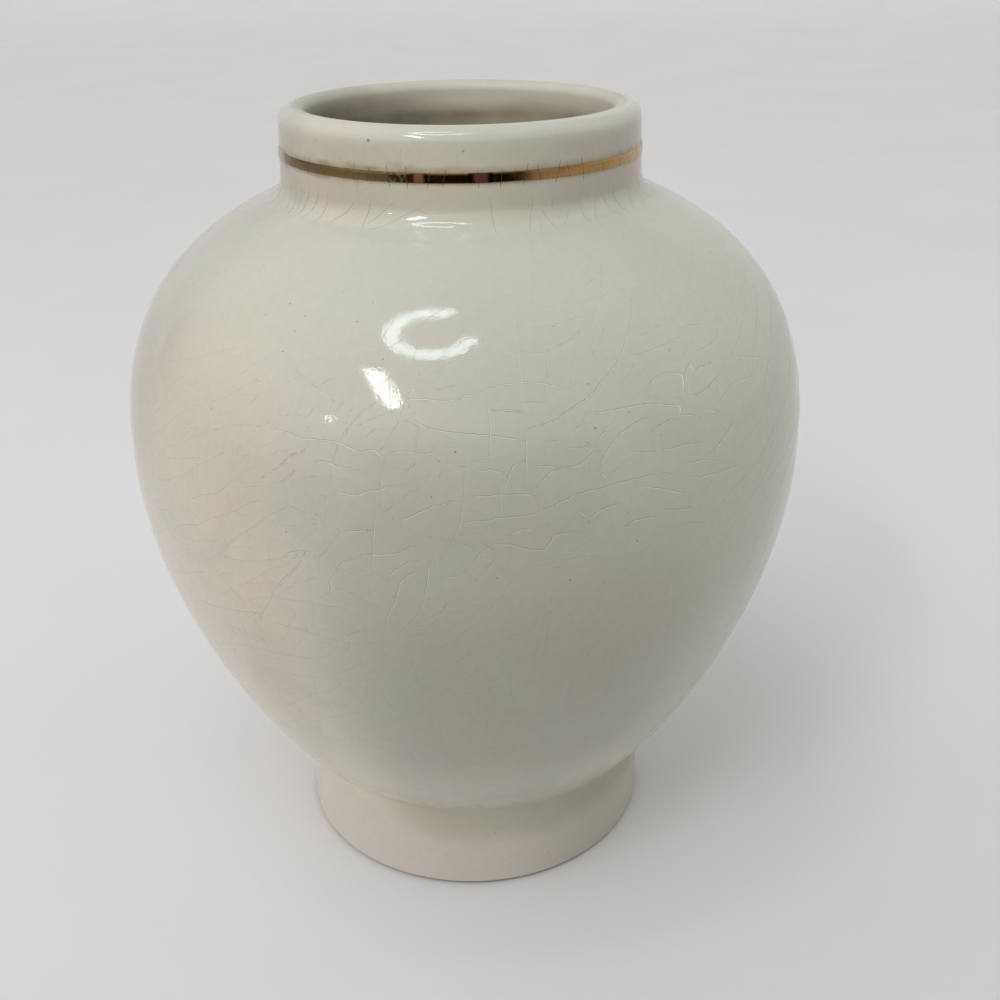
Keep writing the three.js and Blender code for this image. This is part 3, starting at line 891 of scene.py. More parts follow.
SHORT_CRACKS = [
    [(-18.3, 111.4), (-18.9, 109), (-19.2, 106), (-20, 100.3)],
    [(-11.4, 109.4), (-11.8, 106.7), (-12.1, 103.6), (-12.8, 100.4), (-13.1, 95.3), (-13.6, 91.8),
     (-14.1, 87.1)],
    [(-0.5, 108.5), (-0.6, 105.5), (-0.9, 102.4), (-1.6, 99.2), (-2.7, 96.7), (-4.1, 94.5)],
    [(8.3, 114.1), (8.1, 112.3), (7.9, 109.5), (7.7, 105)],
    [(2.8, 117.8), (3.1, 114), (2.9, 109.8)],
    [(4.3, 106.8), (4.2, 103.8), (4.3, 101.1)],
    [(13.1, 124.5), (12.3, 122), (11.8, 119.5), (11.5, 117.3)],
    [(-9.5, 115.4), (-10.8, 113.3), (-12.2, 111.1)],
    [(-7.4, 120.7), (-9, 118.1), (-9.6, 116.1)],
    [(-27, 120.6), (-23, 119.1), (-19.4, 117.2)],
    [(-16.1, 115), (-17.3, 112.8), (-18, 111.3)],
    [(-7.3, 109.5), (-8.6, 106.9), (-10.7, 102.2)],
    [(-5.2, 108), (-6.6, 106.2), (-8.6, 104.9)],
    [(-17.8, 98.1), (-19.4, 95.3), (-21.1, 92.7), (-21.3, 89.9)],
    [(8.3, 129.5), (8.1, 127.8), (7.9, 125.6), (8, 123.5), (8, 121), (8.1, 119.4), (7.9, 116.2)],
    [(16.9, 136.4), (14.7, 134.1), (14.1, 133), (11.9, 129.9), (11.5, 129.3)],
    [(21.8, 138.5), (19.2, 136.5)],
    [(33.5, 135.8), (28.6, 134.1), (24.9, 132), (24, 131.2)],
    [(29.3, 133.2), (27.3, 131.2), (25.9, 130.1)],
    [(23, 127.9), (21.1, 126.3)],
    [(23.4, 125.8), (21.3, 123.7), (19.8, 122.6)],
    [(17.5, 124.1), (16.4, 121.7), (15.3, 118.9)],
    [(37.5, 129.5), (37.1, 128.2), (36.3, 126.1), (35.6, 125.1)],
    [(26.6, 114.8), (27.6, 116.5), (28.4, 118)],
    [(16.9, 115.2), (15.9, 113.6), (15.1, 113.5)],
    [(26.4, 120.8), (25.4, 119.6), (23.7, 118.8)],
    [(45.4, 133.1), (44.1, 131.6), (42.8, 130.1), (42.8, 129.4)],
    [(17.7, 132.5), (20.7, 132.9), (23.4, 133.3), (25.6, 133.7)],
    [(55.4, 129.5), (51.7, 128)],
    [(26.2, 108.2), (27.3, 109.5)],
    [(9.5, 103.3), (9.7, 100.9)],
    [(20, 106.1), (21.5, 106.7), (22.9, 107.7)],
    [(18.2, 107), (18.4, 105.9), (19.3, 105.1)],
    [(-5.8, 83.7), (-4.4, 84.7), (-3.4, 86.4)],
    [(-8.7, 81.9), (-5.9, 82.1), (-4.5, 83.1)],
    [(7.2, 146.9), (9.4, 148), (12.6, 149.6), (16.5, 151.2)],
    [(20.6, 142), (19.4, 139.8), (17.8, 137.6), (15.6, 135.2)],
    [(43.4, 141.6), (41.6, 139.6), (38.9, 137.6), (36.6, 135.9)],
    [(61.6, 140.6), (58, 138.4), (54.4, 136.8)],
    [(-27.9, 114.1), (-25.4, 114.7), (-23.6, 114.9), (-22.6, 116.1)],
    [(-25.9, 120.1), (-24.1, 119.3), (-22.5, 118.4), (-19.4, 117.3)],
    [(-22.5, 118.4), (-21.8, 119.3), (-20.9, 120.1)],
    [(-17.8, 111.5), (-17.4, 113.4), (-16.2, 114.6), (-15.2, 115.9), (-13.2, 117.6)],
    [(-14.3, 112.9), (-13.4, 113.7), (-12.2, 114), (-10.9, 113.7)],
    [(-9.2, 115.4), (-7.8, 114.9), (-6.7, 114.3)],
    [(-8.5, 117), (-8.1, 118.2), (-7.5, 120.2), (-7, 121.7)],
    [(-6.7, 114.5), (-7.2, 112.4), (-7.1, 110.6)],
    [(-5.1, 111.1), (-4.7, 112.5)],
    [(3.3, 116.9), (4.2, 116.5), (6, 116.3), (7.9, 116.2)],
    [(10.5, 109.8), (10.9, 111.8), (12.3, 111.8)],
    [(-0.5, 109.8), (1.3, 109.8), (2.8, 109.8), (3.1, 111.2)],
    [(-4, 107.5), (-3.5, 108.2), (-2.7, 109.4), (-1.7, 109.1), (-0.5, 109.1)],
    [(-8.4, 105.1), (-9.3, 104), (-11.1, 102.1)],
    [(-6.6, 110.9), (-5.2, 110.5), (-3.9, 109.8)],
    [(-10.4, 108.9), (-9.5, 108.6), (-8.5, 108.5), (-8.1, 109.1), (-7.7, 109.6)],
    [(-8.1, 109), (-8.5, 107.7), (-9.2, 106.3)],
    [(-14.8, 107.5), (-13.5, 107.5), (-12.2, 107.6)],
    [(-27.1, 107), (-25.5, 108.7), (-23.2, 109.9)],
    [(-27, 104.4), (-25.5, 105.3), (-24.6, 106.8)],
    [(-23, 103.2), (-21.1, 103.3), (-19.3, 103.4)],
    [(-25.4, 100.9), (-24.1, 100.5), (-23, 100.2)],
    [(-22.7, 99), (-21.2, 98.9), (-19, 98.4), (-17.7, 98.5)],
    [(-16.2, 102.6), (-16.3, 100.3), (-16.4, 98.3)],
    [(-13, 97), (-11.3, 96.9)],
    [(-5.8, 98.2), (-4.6, 98), (-3.5, 98.1)],
    [(-1.4, 98.7), (-0, 98.5), (2.2, 98.4), (2.4, 99.9)],
    [(-0.1, 102.5), (1, 102), (2, 101.5)],
    [(-2.1, 96.7), (-0.6, 96.3), (0.8, 95.6)],
    [(5.3, 97.9), (7.6, 98.3), (9.1, 98.8), (10.8, 99.6)],
    [(3.5, 92.7), (4.6, 92.1), (5, 93.1), (5.2, 94.3)],
    [(-0.2, 89.5), (1.2, 91.8), (2.3, 92.9), (3.2, 93.8)],
    [(-13.2, 87.2), (-11.8, 87.2), (-10.4, 87.6)],
    [(-16.9, 90.6), (-16, 91.2), (-13.7, 91.4), (-11.5, 90.2)],
    [(-19.3, 87.8), (-16.3, 86.8), (-14.2, 85.4), (-12.8, 85)],
    [(-24, 87.7), (-22.1, 89)],
    [(-5.9, 82.1), (-4.4, 84.1), (-3.4, 86)],
    [(-18.3, 78.4), (-17, 79.3), (-15.8, 80)],
    [(-4.4, 119.6), (-3, 119.9), (-1.6, 120.2)],
    [(-22.8, 105.7), (-21.8, 106.2), (-20.6, 106.2)],
]

THREAD_STEP = 0.6  # from point to point of a crack
MEETING_REACH = 3.2  # from how far off a growing crack turns to meet another
MEETING_GAP = 0.5
FREE_START = 1.2  # how far a crack runs before it looks for others
WIDEST_TURN, TURN_SHARE = 1.25, 0.3  # the sharpest turn to a crack ahead, and its share in a step
SWING_KEPT = 0.93
KINK_KEPT, KINK = 0.75, 0.07
SHORTEST_ARM, FEWEST_POINTS, FAINTEST = 0.4, 4, 0.75
HAND_STRENGTHS = (1.0, 0.75)  # of the long and of the short cracks of the front


def walked(samples):
    """Distance along a run at each of its samples."""
    reached = [0.0]
    for (before, _), (after, _) in zip(samples, samples[1:]):
        reached.append(reached[-1] + max((after - before).length, 1e-6))
    return reached


COAT_REACH = walked(glazed_outside)
COAT_LEVELS = [place.y for place in places(glazed_outside)]


def step_of(stops, value):
    """The step of a rising row of stops that a value falls in, and how far through it."""
    i = min(max(bisect.bisect_right(stops, value), 1), len(stops) - 1)
    share = (value - stops[i - 1]) / max(stops[i] - stops[i - 1], 1e-6)
    return i, min(max(share, 0), 1)


def reach_at(level):
    """How far up the wall, along it, a height is."""
    i, share = step_of(COAT_LEVELS, level)
    return COAT_REACH[i - 1] + (COAT_REACH[i] - COAT_REACH[i - 1]) * share


CRACKS_FROM, CRACKS_TO = reach_at(FOOT_HEIGHT + 8), COAT_REACH[-4]
SPARSE_ABOVE, SPARSE_SHARE = COLLAR_ROOT - 12, 0.8  # most tries on the shoulder's top are dropped
UPRIGHT_ABOVE, UPRIGHT_SPREAD = collar_bottom - 1.0, 12  # cracks of the collar run up it
OUTERMOST = BELLY_RADIUS + 1


def on_coat(bearing, reach):
    """Place on the outer glaze and the way out of it, at a bearing and a distance up the wall."""
    i, share = step_of(COAT_REACH, reach)
    place = glazed_outside[i - 1][0].lerp(glazed_outside[i][0], share)
    side = glazed_outside[i - 1][1].lerp(glazed_outside[i][1], share).normalized()
    across, ahead = math.sin(bearing), -math.cos(bearing)
    return (Vector((place.x * across, place.x * ahead, place.y)),
            Vector((side.x * across, side.x * ahead, side.y)))


class Crackle:
    """The cracks so far, kept in boxes so that the ones near a place are found quickly."""

    def __init__(self, sight):
        self.sight = sight
        self.boxes = {}
        self.cracks = []

    def box(self, place):
        return tuple(int(c // self.sight) for c in place)

    def add(self, line, strength):
        self.cracks.append((line, strength))
        for bearing, reach in line:
            place, _ = on_coat(bearing, reach)
            self.boxes.setdefault(self.box(place), []).append((place, bearing, reach))

    def nearest(self, place):
        x, y, z = self.box(place)
        best, best_gap = None, self.sight
        for i in (x - 1, x, x + 1):
            for j in (y - 1, y, y + 1):
                for k in (z - 1, z, z + 1):
                    for entry in self.boxes.get((i, j, k), ()):
                        gap = (entry[0] - place).length
                        if gap < best_gap:
                            best, best_gap = entry, gap
        return best, best_gap


def unsteady(line, chance):
    """A line with the small kinks of a real crack."""
    kinked, swing = [], 0.0
    for bearing, reach in line:
        swing = KINK_KEPT * swing + chance.gauss(0, KINK)
        kinked.append((bearing - 0.5 * swing / BELLY_RADIUS, reach + swing))
    return kinked


def smoothed(waypoints):
    """A smooth line of close points through given ones."""
    ways = [(math.radians(bearing), reach_at(level)) for bearing, level in waypoints]
    ends = [ways[0], *ways, ways[-1]]
    line = [ways[0]]
    for a, b, c, d in zip(ends, ends[1:], ends[2:], ends[3:]):
        length = (on_coat(*b)[0] - on_coat(*c)[0]).length
        steps = max(1, round(length / THREAD_STEP))
        for i in range(1, steps + 1):
            t = i / steps
            weights = (-t + 2 * t * t - t ** 3, 2 - 5 * t * t + 3 * t ** 3,
                       t + 4 * t * t - 3 * t ** 3, t ** 3 - t * t)
            line.append(tuple(0.5 * sum(w * p[n] for w, p in zip(weights, (a, b, c, d))) for n in (0, 1)))
    return line


def arm(net, bearing, reach, heading, length, wander, chance):
    """One arm of a growing crack: it wanders, turns to meet a crack ahead of it, and ends there."""
    line, gone, swing = [], 0.0, 0.0
    while gone < length and CRACKS_FROM < reach < CRACKS_TO:
        swing = SWING_KEPT * swing + chance.gauss(0, wander)
        place, out = on_coat(bearing, reach)
        round_way = Vector((math.cos(bearing), math.sin(bearing), 0))
        up_way = out.cross(round_way)
        met, gap = net.nearest(place)
        way = heading + swing
        if met and gone > FREE_START:
            if gap < MEETING_GAP:
                line.append(met[1:])
                break
            toward = met[0] - place
            turn = math.remainder(math.atan2(toward.dot(up_way), toward.dot(round_way)) - way, math.tau)
            if abs(turn) < WIDEST_TURN:
                swing += turn * TURN_SHARE * (1 - gap / MEETING_REACH)
                way = heading + swing
        radius = math.hypot(place.x, place.y)
        bearing += THREAD_STEP * math.cos(way) / radius
        reach += THREAD_STEP * math.sin(way)
        gone += THREAD_STEP
        line.append((bearing, reach))
    return line


def random_place(chance):
    """A bearing and a distance up the wall, as likely on any patch of it as on another of its size."""
    while True:
        reach = chance.uniform(CRACKS_FROM, CRACKS_TO)
        place, _ = on_coat(0.0, reach)
        if chance.random() < -place.y / OUTERMOST:
            return chance.uniform(-math.pi, math.pi), reach


def grow_family(net, chance, tries, clear, apart, heading, spread, longest, wander, strength):
    """Starts cracks of one kind wherever a try lands clear of all others and well apart from its kind."""
    kind = Crackle(apart)
    for _ in range(tries):
        bearing, reach = random_place(chance)
        place, _ = on_coat(bearing, reach)
        if net.nearest(place)[1] < clear or kind.nearest(place)[1] < apart:
            continue
        if place.z > SPARSE_ABOVE and chance.random() < SPARSE_SHARE:
            continue
        way = math.radians(heading + chance.uniform(-spread, spread))
        if place.z > UPRIGHT_ABOVE:
            way = math.radians(90 + chance.uniform(-UPRIGHT_SPREAD, UPRIGHT_SPREAD))
        ahead, back = (
            arm(net, bearing, reach, way + turn, chance.uniform(SHORTEST_ARM, 1.0) * longest, wander, chance)
            for turn in (0, math.pi))
        if len(ahead) + len(back) > FEWEST_POINTS:
            line = [*back[::-1], (bearing, reach), *ahead]
            net.add(line, strength * chance.uniform(FAINTEST, 1.0))
            kind.add(line, strength)


# Kinds of grown cracks: tries, distance from every crack and from its own kind, way in degrees up
# from level and the most it strays from that, greatest length of an arm, wander, and strength
LONG_KIND = (4000, 2.4, 4.2, 22, 16, 20, 0.07, 0.95)
SHORT_KINDS = (
    (9000, 1.6, 4.6, 105, 25, 12, 0.09, 0.68),
    (5000, 1.8, 3.6, 35, 50, 12, 0.09, 0.75),
    (9000, 1.2, 2.4, 45, 60, 7, 0.12, 0.75))


def grown_crackle():
    """The cracks of the front, then the long and the short ones grown among and beyond them."""
    net, kinks, chance = Crackle(MEETING_REACH), random.Random(4), random.Random(11)
    for table, strength in zip((LONG_CRACKS, SHORT_CRACKS), HAND_STRENGTHS):
        for waypoints in table:
            net.add(unsteady(smoothed(waypoints), kinks), strength)
    by_hand = len(net.cracks)
    grow_family(net, chance, *LONG_KIND)
    long_ones = len(net.cracks)
    for kind in SHORT_KINDS:
        grow_family(net, chance, *kind)
    return net.cracks[:by_hand], net.cracks[by_hand:long_ones], net.cracks[long_ones:]


def rise(value, low, high):
    t = min(max((value - low) / (high - low), 0), 1)
    return t * t * (3 - 2 * t)


def staining(place, by_collar):
    """How dark the stain is: strong round the belly, faint low down, on the shoulder and at the left."""
    bearing, level = math.degrees(math.atan2(place.x, -place.y)), place.z
    faint_from = 52 + 18 * (1 - rise(abs(bearing - 35), 25, 60))
    belly_share = 0.1 + 0.9 * rise(level, faint_from + 4, faint_from + 32)
    shoulder_share = (1 - 0.55 * rise(level, 116, 132)) * (1 - (1 - by_collar) * rise(level, 128, 137))
    left_share = 1 - 0.5 * rise(level, 96, 116) * rise(-bearing, 18, 40) * (1 - rise(-bearing, 100, 130))
    edge_share = 1 - 0.6 * rise(-bearing, 44, 56) * (1 - rise(-bearing, 90, 120))
    return belly_share * shoulder_share * left_share * edge_share


def store(item, name, kind, values):
    """Keeps a number, or a way as three numbers, at each point of an object."""
    field = "vector" if kind == "FLOAT_VECTOR" else "value"
    item.data.attributes.new(name, kind, "POINT").data.foreach_set(field, values)


END_DEPTH, DEPTH_STEP = 0.35, 0.25  # of a thread: at its end, and more with each point from there


def threads(name, cracks, keep_every, by_collar, lift):
    """The lines of some cracks as one object, with the way out and the depth at each point."""
    vertices, edges, outward, depth = [], [], [], []
    for line, strength in cracks:
        kept = line[::keep_every]
        if line[-1] != kept[-1]:
            kept.append(line[-1])
        if (kept[-1][0] - kept[0][0]) * BELLY_RADIUS + kept[-1][1] - kept[0][1] < 0:
            kept.reverse()
        start = len(vertices)
        for i, (bearing, reach) in enumerate(kept):
            place, out = on_coat(bearing, reach)
            taper = min(1.0, END_DEPTH + DEPTH_STEP * min(i, len(kept) - 1 - i))
            depth.append(strength * taper * (1.0 if lift else staining(place, by_collar)))
            vertices.append((place + out * (lift(reach) if lift else 0.0)) * MM)
            outward.extend(out)
        edges += [(start + i, start + i + 1) for i in range(len(kept) - 1)]
    item = new_object(name, vertices, edges)
    store(item, "outward", "FLOAT_VECTOR", outward)
    store(item, "depth", "FLOAT", depth)
    return item


def named(tree, name, kind):
    return result(tree, "GeometryNodeInputNamedAttribute", {"Name": name}, "Attribute", data_type=kind)


# Section of a thread: whether each corner is sunk in the glaze, and how far across it lies
THREAD_SECTION = ((True, -1.0), (False, -0.5), (False, -0.35), (True, 1.0))
THINNEST = 0.2  # width of a thread where it has no depth
SUNK = 0.02


def crack_line_tree():
    """Lays a low, tapering thread of stain along each line of points."""
    tree, given = geometry_tree("crack line", {
        "Half Width": "Float", "Crest": "Float", "Sunk": "Float", "Stray": "Float"})
    lines = strayed(result(tree, "GeometryNodeMeshToCurve", {"Mesh": given["Geometry"]}), given["Stray"])
    upright = result(tree, "GeometryNodeSetCurveNormal", {
        "Curve": lines, "Normal": named(tree, "outward", "FLOAT_VECTOR")}, mode="FREE")
    deep, crest = given["Sunk"] * -1.0, given["Crest"]
    corners = {f"Point {n}": combined(tree, deep if sunk else crest, given["Half Width"] * across)
               for n, (sunk, across) in enumerate(THREAD_SECTION, 1)}
    section = result(tree, "GeometryNodeCurvePrimitiveQuadrilateral", corners, mode="POINTS")
    # Marks the upper side of each thread, which the crack material paints pale as painted light.
    lit_side = result(tree, "GeometryNodeInputIndex").maths("GREATER_THAN", 1.5)
    sided = result(tree, "GeometryNodeStoreNamedAttribute", {
        "Geometry": section, "Name": "across", "Value": lit_side}, data_type="FLOAT", domain="POINT")
    width = named(tree, "depth", "FLOAT") * (1 - THINNEST) + THINNEST
    swept = result(tree, "GeometryNodeCurveToMesh", {
        "Curve": upright, "Profile Curve": sided, "Scale": width, "Fill Caps": True})
    return close_tree(tree, swept, given["Material"])


CRACK_LINE = crack_line_tree()


def stained_threads(name, cracks, keep_every, half_width, crest, material, by_collar=None, lift=None):
    lines = threads(name, cracks, keep_every, by_collar, lift)
    made_by(CRACK_LINE, lines, half_width=half_width * MM, crest=crest * MM, sunk=SUNK * MM,
            stray=UNEVENNESS * MM, material=material)
    faces_out(lines)
    settle(lines, "crackle_glaze")


front_cracks, long_cracks, short_cracks = grown_crackle()
for name, cracks, keep_every, half_width, crest, by_collar in (
        ("front_crackle", front_cracks, 1, 0.23, 0.02, 0.3),
        ("long_crackle", long_cracks, 2, 0.2, 0.018, 0.06),
        ("short_crackle", short_cracks, 2, 0.16, 0.014, 0.06)):
    stained_threads(name, cracks, keep_every, half_width, crest, crackle_stain, by_collar)


# Fine dark cracks across the gilt line

GILT_FROM, GILT_TO = reach_at(gilt_bottom), reach_at(gilt_top)
FRONT_GILT_CRACKS = (27.8, 37.1, 45.5, 54.0, 22.4, 4.6, -5.2, -15.4, -20.7, -32.0)
GILT_CRACKS, GILT_CRACKS_APART, GILT_CRACK_STEP, GILT_RAMP = 44, 0.07, 0.1, 0.1
BELOW_GILT, ABOVE_GILT, GILT_CRACK_LEAN = (0.1, 1.0), (0.1, 1.5), 0.3


def over_gilt_line(reach):
    """How far the gilding stands proud under a crack, with a short ramp at each edge."""
    inside = min(reach - GILT_FROM, GILT_TO - reach)
    return GILT_THICKNESS * min(max(0.5 + inside / GILT_RAMP, 0), 1)


def gilt_cracks():
    chance = random.Random(23)
    bearings = [math.radians(b) for b in FRONT_GILT_CRACKS]
    while len(bearings) < GILT_CRACKS:
        bearing = chance.uniform(-math.pi, math.pi)
        if min(abs(math.remainder(bearing - b, math.tau)) for b in bearings) > GILT_CRACKS_APART:
            bearings.append(bearing)
    cracks = []
    for bearing in bearings:
        low = GILT_FROM - chance.uniform(*BELOW_GILT)
        high = min(GILT_TO + chance.uniform(*ABOVE_GILT), CRACKS_TO)
        lean = chance.uniform(-GILT_CRACK_LEAN, GILT_CRACK_LEAN)
        count = round((high - low) / GILT_CRACK_STEP)
        reaches = [low + (high - low) * i / count for i in range(count + 1)]
        line = [(bearing + lean * (reach - GILT_FROM) / COLLAR_RADIUS, reach) for reach in reaches]
        cracks.append((line, chance.uniform(0.7, 1.0)))
    return cracks


stained_threads("gilt_crackle", gilt_cracks(), 1, 0.075, 0.015, gilt_crack_stain, lift=over_gilt_line)


# Iron specks and pinholes

def domes(tree, points, turn, radius, height, fineness):
    """A low dome at each point."""
    dome = result(tree, "GeometryNodeMeshIcoSphere", {"Radius": 1.0, "Subdivisions": fineness})
    return result(tree, "GeometryNodeInstanceOnPoints", {
        "Points": points, "Instance": dome, "Rotation": turn,
        "Scale": combined(tree, radius, radius, radius * height)})


def scattered_speck_tree():
    """Scatters low domes over a surface."""
    tree, given = geometry_tree("scattered specks", {
        "Per Square Metre": "Float", "Smallest": "Float", "Largest": "Float", "Seed": "Int"})
    scatter = node_in(tree, "GeometryNodeDistributePointsOnFaces", {
        "Mesh": given["Geometry"], "Density": given["Per Square Metre"], "Seed": given["Seed"]})
    points, turn = (Wire(tree, scatter.outputs[name]) for name in ("Points", "Rotation"))
    radius = result(tree, "FunctionNodeRandomValue", {
        "Min": given["Smallest"], "Max": given["Largest"], "Seed": given["Seed"]}, data_type="FLOAT")
    specks = domes(tree, points, turn, radius, height=0.25, fineness=1)
    return close_tree(tree, specks, given["Material"])


def placed_speck_tree():
    """Lays a low dome at each point, square to the way out there."""
    tree, given = geometry_tree("placed specks", {"Stray": "Float"})
    turn = result(tree, "FunctionNodeAlignRotationToVector", {
        "Vector": named(tree, "outward", "FLOAT_VECTOR")}, axis="Z")
    points = strayed(given["Geometry"], given["Stray"])
    specks = domes(tree, points, turn, named(tree, "radius", "FLOAT"), height=0.2, fineness=2)
    return close_tree(tree, specks, given["Material"])


SCATTERED_SPECKS = scattered_speck_tree()
SMALLEST_PINHOLE = 0.05

# Bearing in degrees, height and radius in millimetres of the specks that stand out
PLAIN_SPECKS = (
    (-26.8, 151.2, 0.28), (0.5, 149.9, 0.2), (-1.8, 111.1, 0.2), (-5.1, 104.4, 0.17), (18.1, 112.9, 0.18),
    (22.2, 99.0, 0.16), (23.7, 93.7, 0.17), (13.6, 89.0, 0.16), (18.7, 87.6, 0.15))


def placed_specks(name, wanted):
    spots = [on_coat(math.radians(bearing), reach_at(level)) for bearing, level, _ in wanted]
    item = new_object(name, [place * MM for place, out in spots])
    store(item, "outward", "FLOAT_VECTOR", [c for place, out in spots for c in out])
    store(item, "radius", "FLOAT", [radius * MM for _, _, radius in wanted])
    made_by(placed_speck_tree(), item, stray=UNEVENNESS * MM, material=iron_speck)
    settle(item, "crackle_glaze")


def pinholes(name, outline, per_square_metre, seed, largest, slot):
    patch = turned(name, places(outline), iron_speck, closed=False)
    made_by(SCATTERED_SPECKS, patch, per_square_metre=per_square_metre, smallest=SMALLEST_PINHOLE * MM,
            largest=largest * MM, seed=seed, material=iron_speck)
    settle(patch, slot)


placed_specks("plain_specks", PLAIN_SPECKS)
pinholes("glaze_pinholes", glazed_outside, per_square_metre=12000.0, seed=5, largest=0.16,
         slot="crackle_glaze")
pinholes("lining_pinholes", glazed_inside[:-12], per_square_metre=2600.0, seed=6, largest=0.2,
         slot="lining_glaze")


# Floor, backdrop, lamps and camera

def strip(steps):
    """The faces between two rows of points, which are given in turn."""
    return [(2 * i, 2 * i + 1, 2 * i + 3, 2 * i + 2) for i in range(steps)]


def pale_sweep():
    """One pale sheet: floor under the vase, curving up into a wall far behind it."""
    half_width, front, bend_start, bend, height, steps = 4.0, -5.0, 2.2, 0.8, 2.4, 16
    line = [(front, 0.0)]
    line += [(bend_start + bend * math.sin(a), bend * (1 - math.cos(a)))
             for a in (math.pi / 2 * i / steps for i in range(steps + 1))]
    line.append((bend_start + bend, height))
    vertices = [(x, y, z) for y, z in line for x in (-half_width, half_width)]
    sweep = new_object("pale_sweep", vertices, (), strip(len(line) - 1))
    for face in sweep.data.polygons:
        face.use_smooth = True
    paper, _, _ = two_toned("pale paper", 9.0, 4.0, (0.8, 0.8, 0.8), (0.78, 0.78, 0.785), Roughness=0.7)
    sweep.data.materials.append(paper)


def dark_card():
    """A dark card with soft edges before the vase, which the gilt line and the lower belly mirror."""
    left, right, front, top = -0.62, 0.42, -0.29, 0.28
    card = new_object("dark_card", [(x, front, z) for z in (0, top) for x in (left, right)], (), strip(1))
    made, shader, place = two_toned(
        "dark card", 30.0, 3.0, (0.012, 0.012, 0.012), (0.016, 0.015, 0.014), Roughness=0.9)
    across = place.part("X")
    veil = across.band(-0.6, -0.2, 0, 0.45)
    solid = across.band(-0.27, -0.13).maths("MAXIMUM", veil) * across.band(0.17, 0.3, 1, 0)
    (solid * place.part("Z").band(0.135, 0.27, 1, 0)).into(shader, "Alpha")
    card.data.materials.append(made)
    card.visible_camera = False


pale_sweep()
dark_card()


def direction(bearing, elevation):
    """A way out from the vase: bearing in degrees round from the front, elevation above level."""
    a, e = math.radians(bearing), math.radians(elevation)
    return Vector((math.sin(a) * math.cos(e), -math.cos(a) * math.cos(e), math.sin(e)))


# Soft glows of the room: bearing, elevation and colour of each
ROOM_LEVEL = (0.358, 0.357, 0.356)
ROOM_GLOWS = (
    (-75, 10, (0.45, 0.39, 0.375)),
    (-45, 10, (0.36, 0.295, 0.285)),
    (-15, 8, (0.91, 0.85, 0.84)),
    (30, 10, (0.38, 0.376, 0.366)),
    (105, 10, (0.4, 0.437, 0.383)),
    (-110, 50, (0.42, 0.4, 0.4)),
    (-65, 45, (0.19, 0.173, 0.174)),
    (-25, 45, (0.34, 0.33, 0.332)),
    (75, 45, (0.267, 0.282, 0.277)),
    (130, 45, (0.09, 0.11, 0.1)),
)
GLOW_EDGE, GLOW_HEART = math.cos(math.radians(42)), math.cos(math.radians(6))


def room_light():
    world = bpy.data.worlds.new("room")
    bpy.context.scene.world = world
    world.use_nodes = True
    way = result(world.node_tree, "ShaderNodeTexCoord", output="Generated")
    colour = ROOM_LEVEL
    for bearing, elevation, glow in ROOM_GLOWS:
        nearness = way.vector("DOT_PRODUCT", direction(bearing, elevation))
        colour = blend(nearness.band(GLOW_EDGE, GLOW_HEART), colour, glow, "ADD")
    colour.into(world.node_tree.nodes["Background"], "Color")


LAMP_TARGET = Vector((0, -0.03, 0.12))


def facing_vase(bearing, elevation, distance):
    """A place round the vase, turned to look at it."""
    away = direction(bearing, elevation) * distance
    return Matrix.Translation(LAMP_TARGET + away) @ (-away).to_track_quat("-Z", "Y").to_matrix().to_4x4()


def lamp(name, bearing, elevation, distance, width, height, radiance, colour):
    """A flat lamp of a given brightness to look at, whatever its size."""
    data = bpy.data.lights.new(name, "AREA")
    data.shape = "RECTANGLE"
    data.size, data.size_y = width, height
    data.energy = radiance * math.pi * width * height
    data.color = colour
    item = bpy.data.objects.new(name, data)
    bpy.context.scene.collection.objects.link(item)
    item.matrix_world = facing_vase(bearing, elevation, distance)


def glowing(name, corners, radiance, colour):
    """A lamp in the shape of a strip, which shows only in what mirrors it."""
    shape = new_object(name, corners, (), strip(len(corners) // 2 - 1))
    made, shader, _ = two_toned(f"{name} glow", 20.0, 2.0, (0.5, 0.5, 0.5), (0.52, 0.52, 0.52), Roughness=0.5)
    shader.inputs["Emission Color"].default_value = (*colour, 1.0)
    shader.inputs["Emission Strength"].default_value = radiance
    shape.data.materials.append(made)
    shape.visible_camera = False


def window_lamp(left_edge, right_edge, distance, radiance, colour):
    """A small leaning window, given by the ways to points down its left and right edges."""
    ways = [way for pair in zip(left_edge, right_edge) for way in pair]
    glowing("window_lamp", [LAMP_TARGET + direction(*way) * distance for way in ways], radiance, colour)


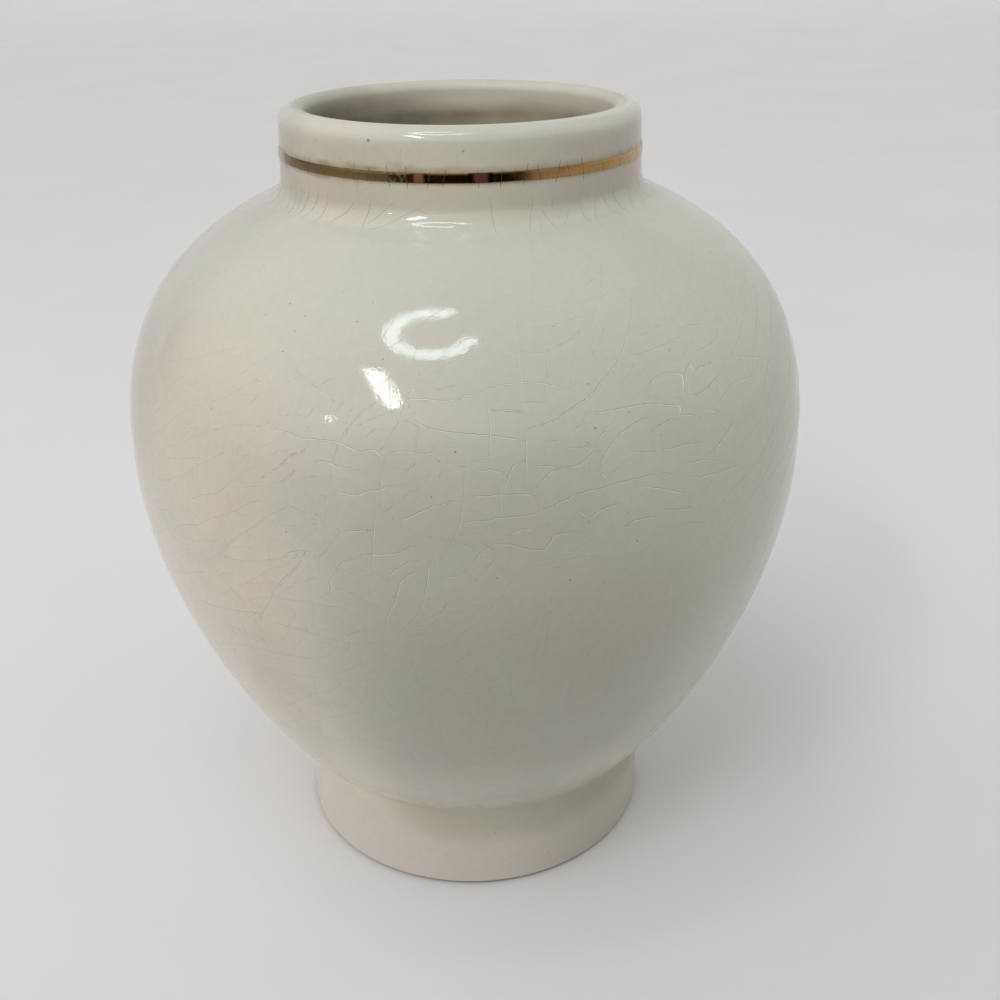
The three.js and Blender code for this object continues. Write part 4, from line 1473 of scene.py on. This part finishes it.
def ring_lamp(bearing, elevation, distance, radiance, colour):
    """A ring that glows, with a gap to the right, above and in front of the vase."""
    inner, outer, first, last, steps = 0.091, 0.137, 84, 368, 40
    turn = facing_vase(bearing, elevation, distance)
    angles = [math.radians(first + (last - first) * i / steps) for i in range(steps + 1)]
    corners = [turn @ Vector((radius * math.cos(angle), radius * math.sin(angle), 0))
               for angle in angles for radius in (inner, outer)]
    glowing("ring_lamp", corners, radiance, colour)


room_light()
ring_lamp(bearing=-25.6, elevation=69.6, distance=0.6, radiance=9.8, colour=(0.8, 0.96, 1.0))
window_lamp(left_edge=((-45.5, 46.8), (-38.6, 41.6), (-33.2, 36.6), (-28.5, 31.8)),
            right_edge=((-37.0, 48.4), (-31.3, 43.4), (-26.8, 38.6), (-23.4, 33.0)),
            distance=0.9, radiance=17.0, colour=(0.97, 0.99, 1.0))
lamp("far_spark", bearing=-47, elevation=22, distance=0.9, width=0.035, height=0.025, radiance=22.0,
     colour=(1.0, 1.0, 1.0))


def camera():
    """The photograph's viewpoint: square picture, a little above the lip, looking down."""
    distance, height = 224.55 * MM, 182.23 * MM
    pitch, yaw, roll = (math.radians(a) for a in (26.172, -1.656, -0.623))
    ahead = Vector((-math.sin(yaw), math.cos(yaw), 0))
    level = Vector((math.cos(yaw), math.sin(yaw), 0))
    upright = Vector((0, 0, 1))
    sight = ahead * math.cos(pitch) - upright * math.sin(pitch)
    above = ahead * math.sin(pitch) + upright * math.cos(pitch)
    across = level * math.cos(roll) + above * math.sin(roll)
    over = above * math.cos(roll) - level * math.sin(roll)
    data = bpy.data.cameras.new("camera")
    data.sensor_width = 36.0
    data.lens = 1.1735 * data.sensor_width
    data.clip_start, data.clip_end = 0.01, 20.0
    item = bpy.data.objects.new("camera", data)
    bpy.context.scene.collection.objects.link(item)
    turn = Matrix((across, over, -sight)).transposed()
    item.matrix_world = Matrix.Translation((0, -distance, height)) @ turn.to_4x4()
    bpy.context.scene.camera = item


camera()
bpy.context.scene.view_settings.view_transform = "Standard"
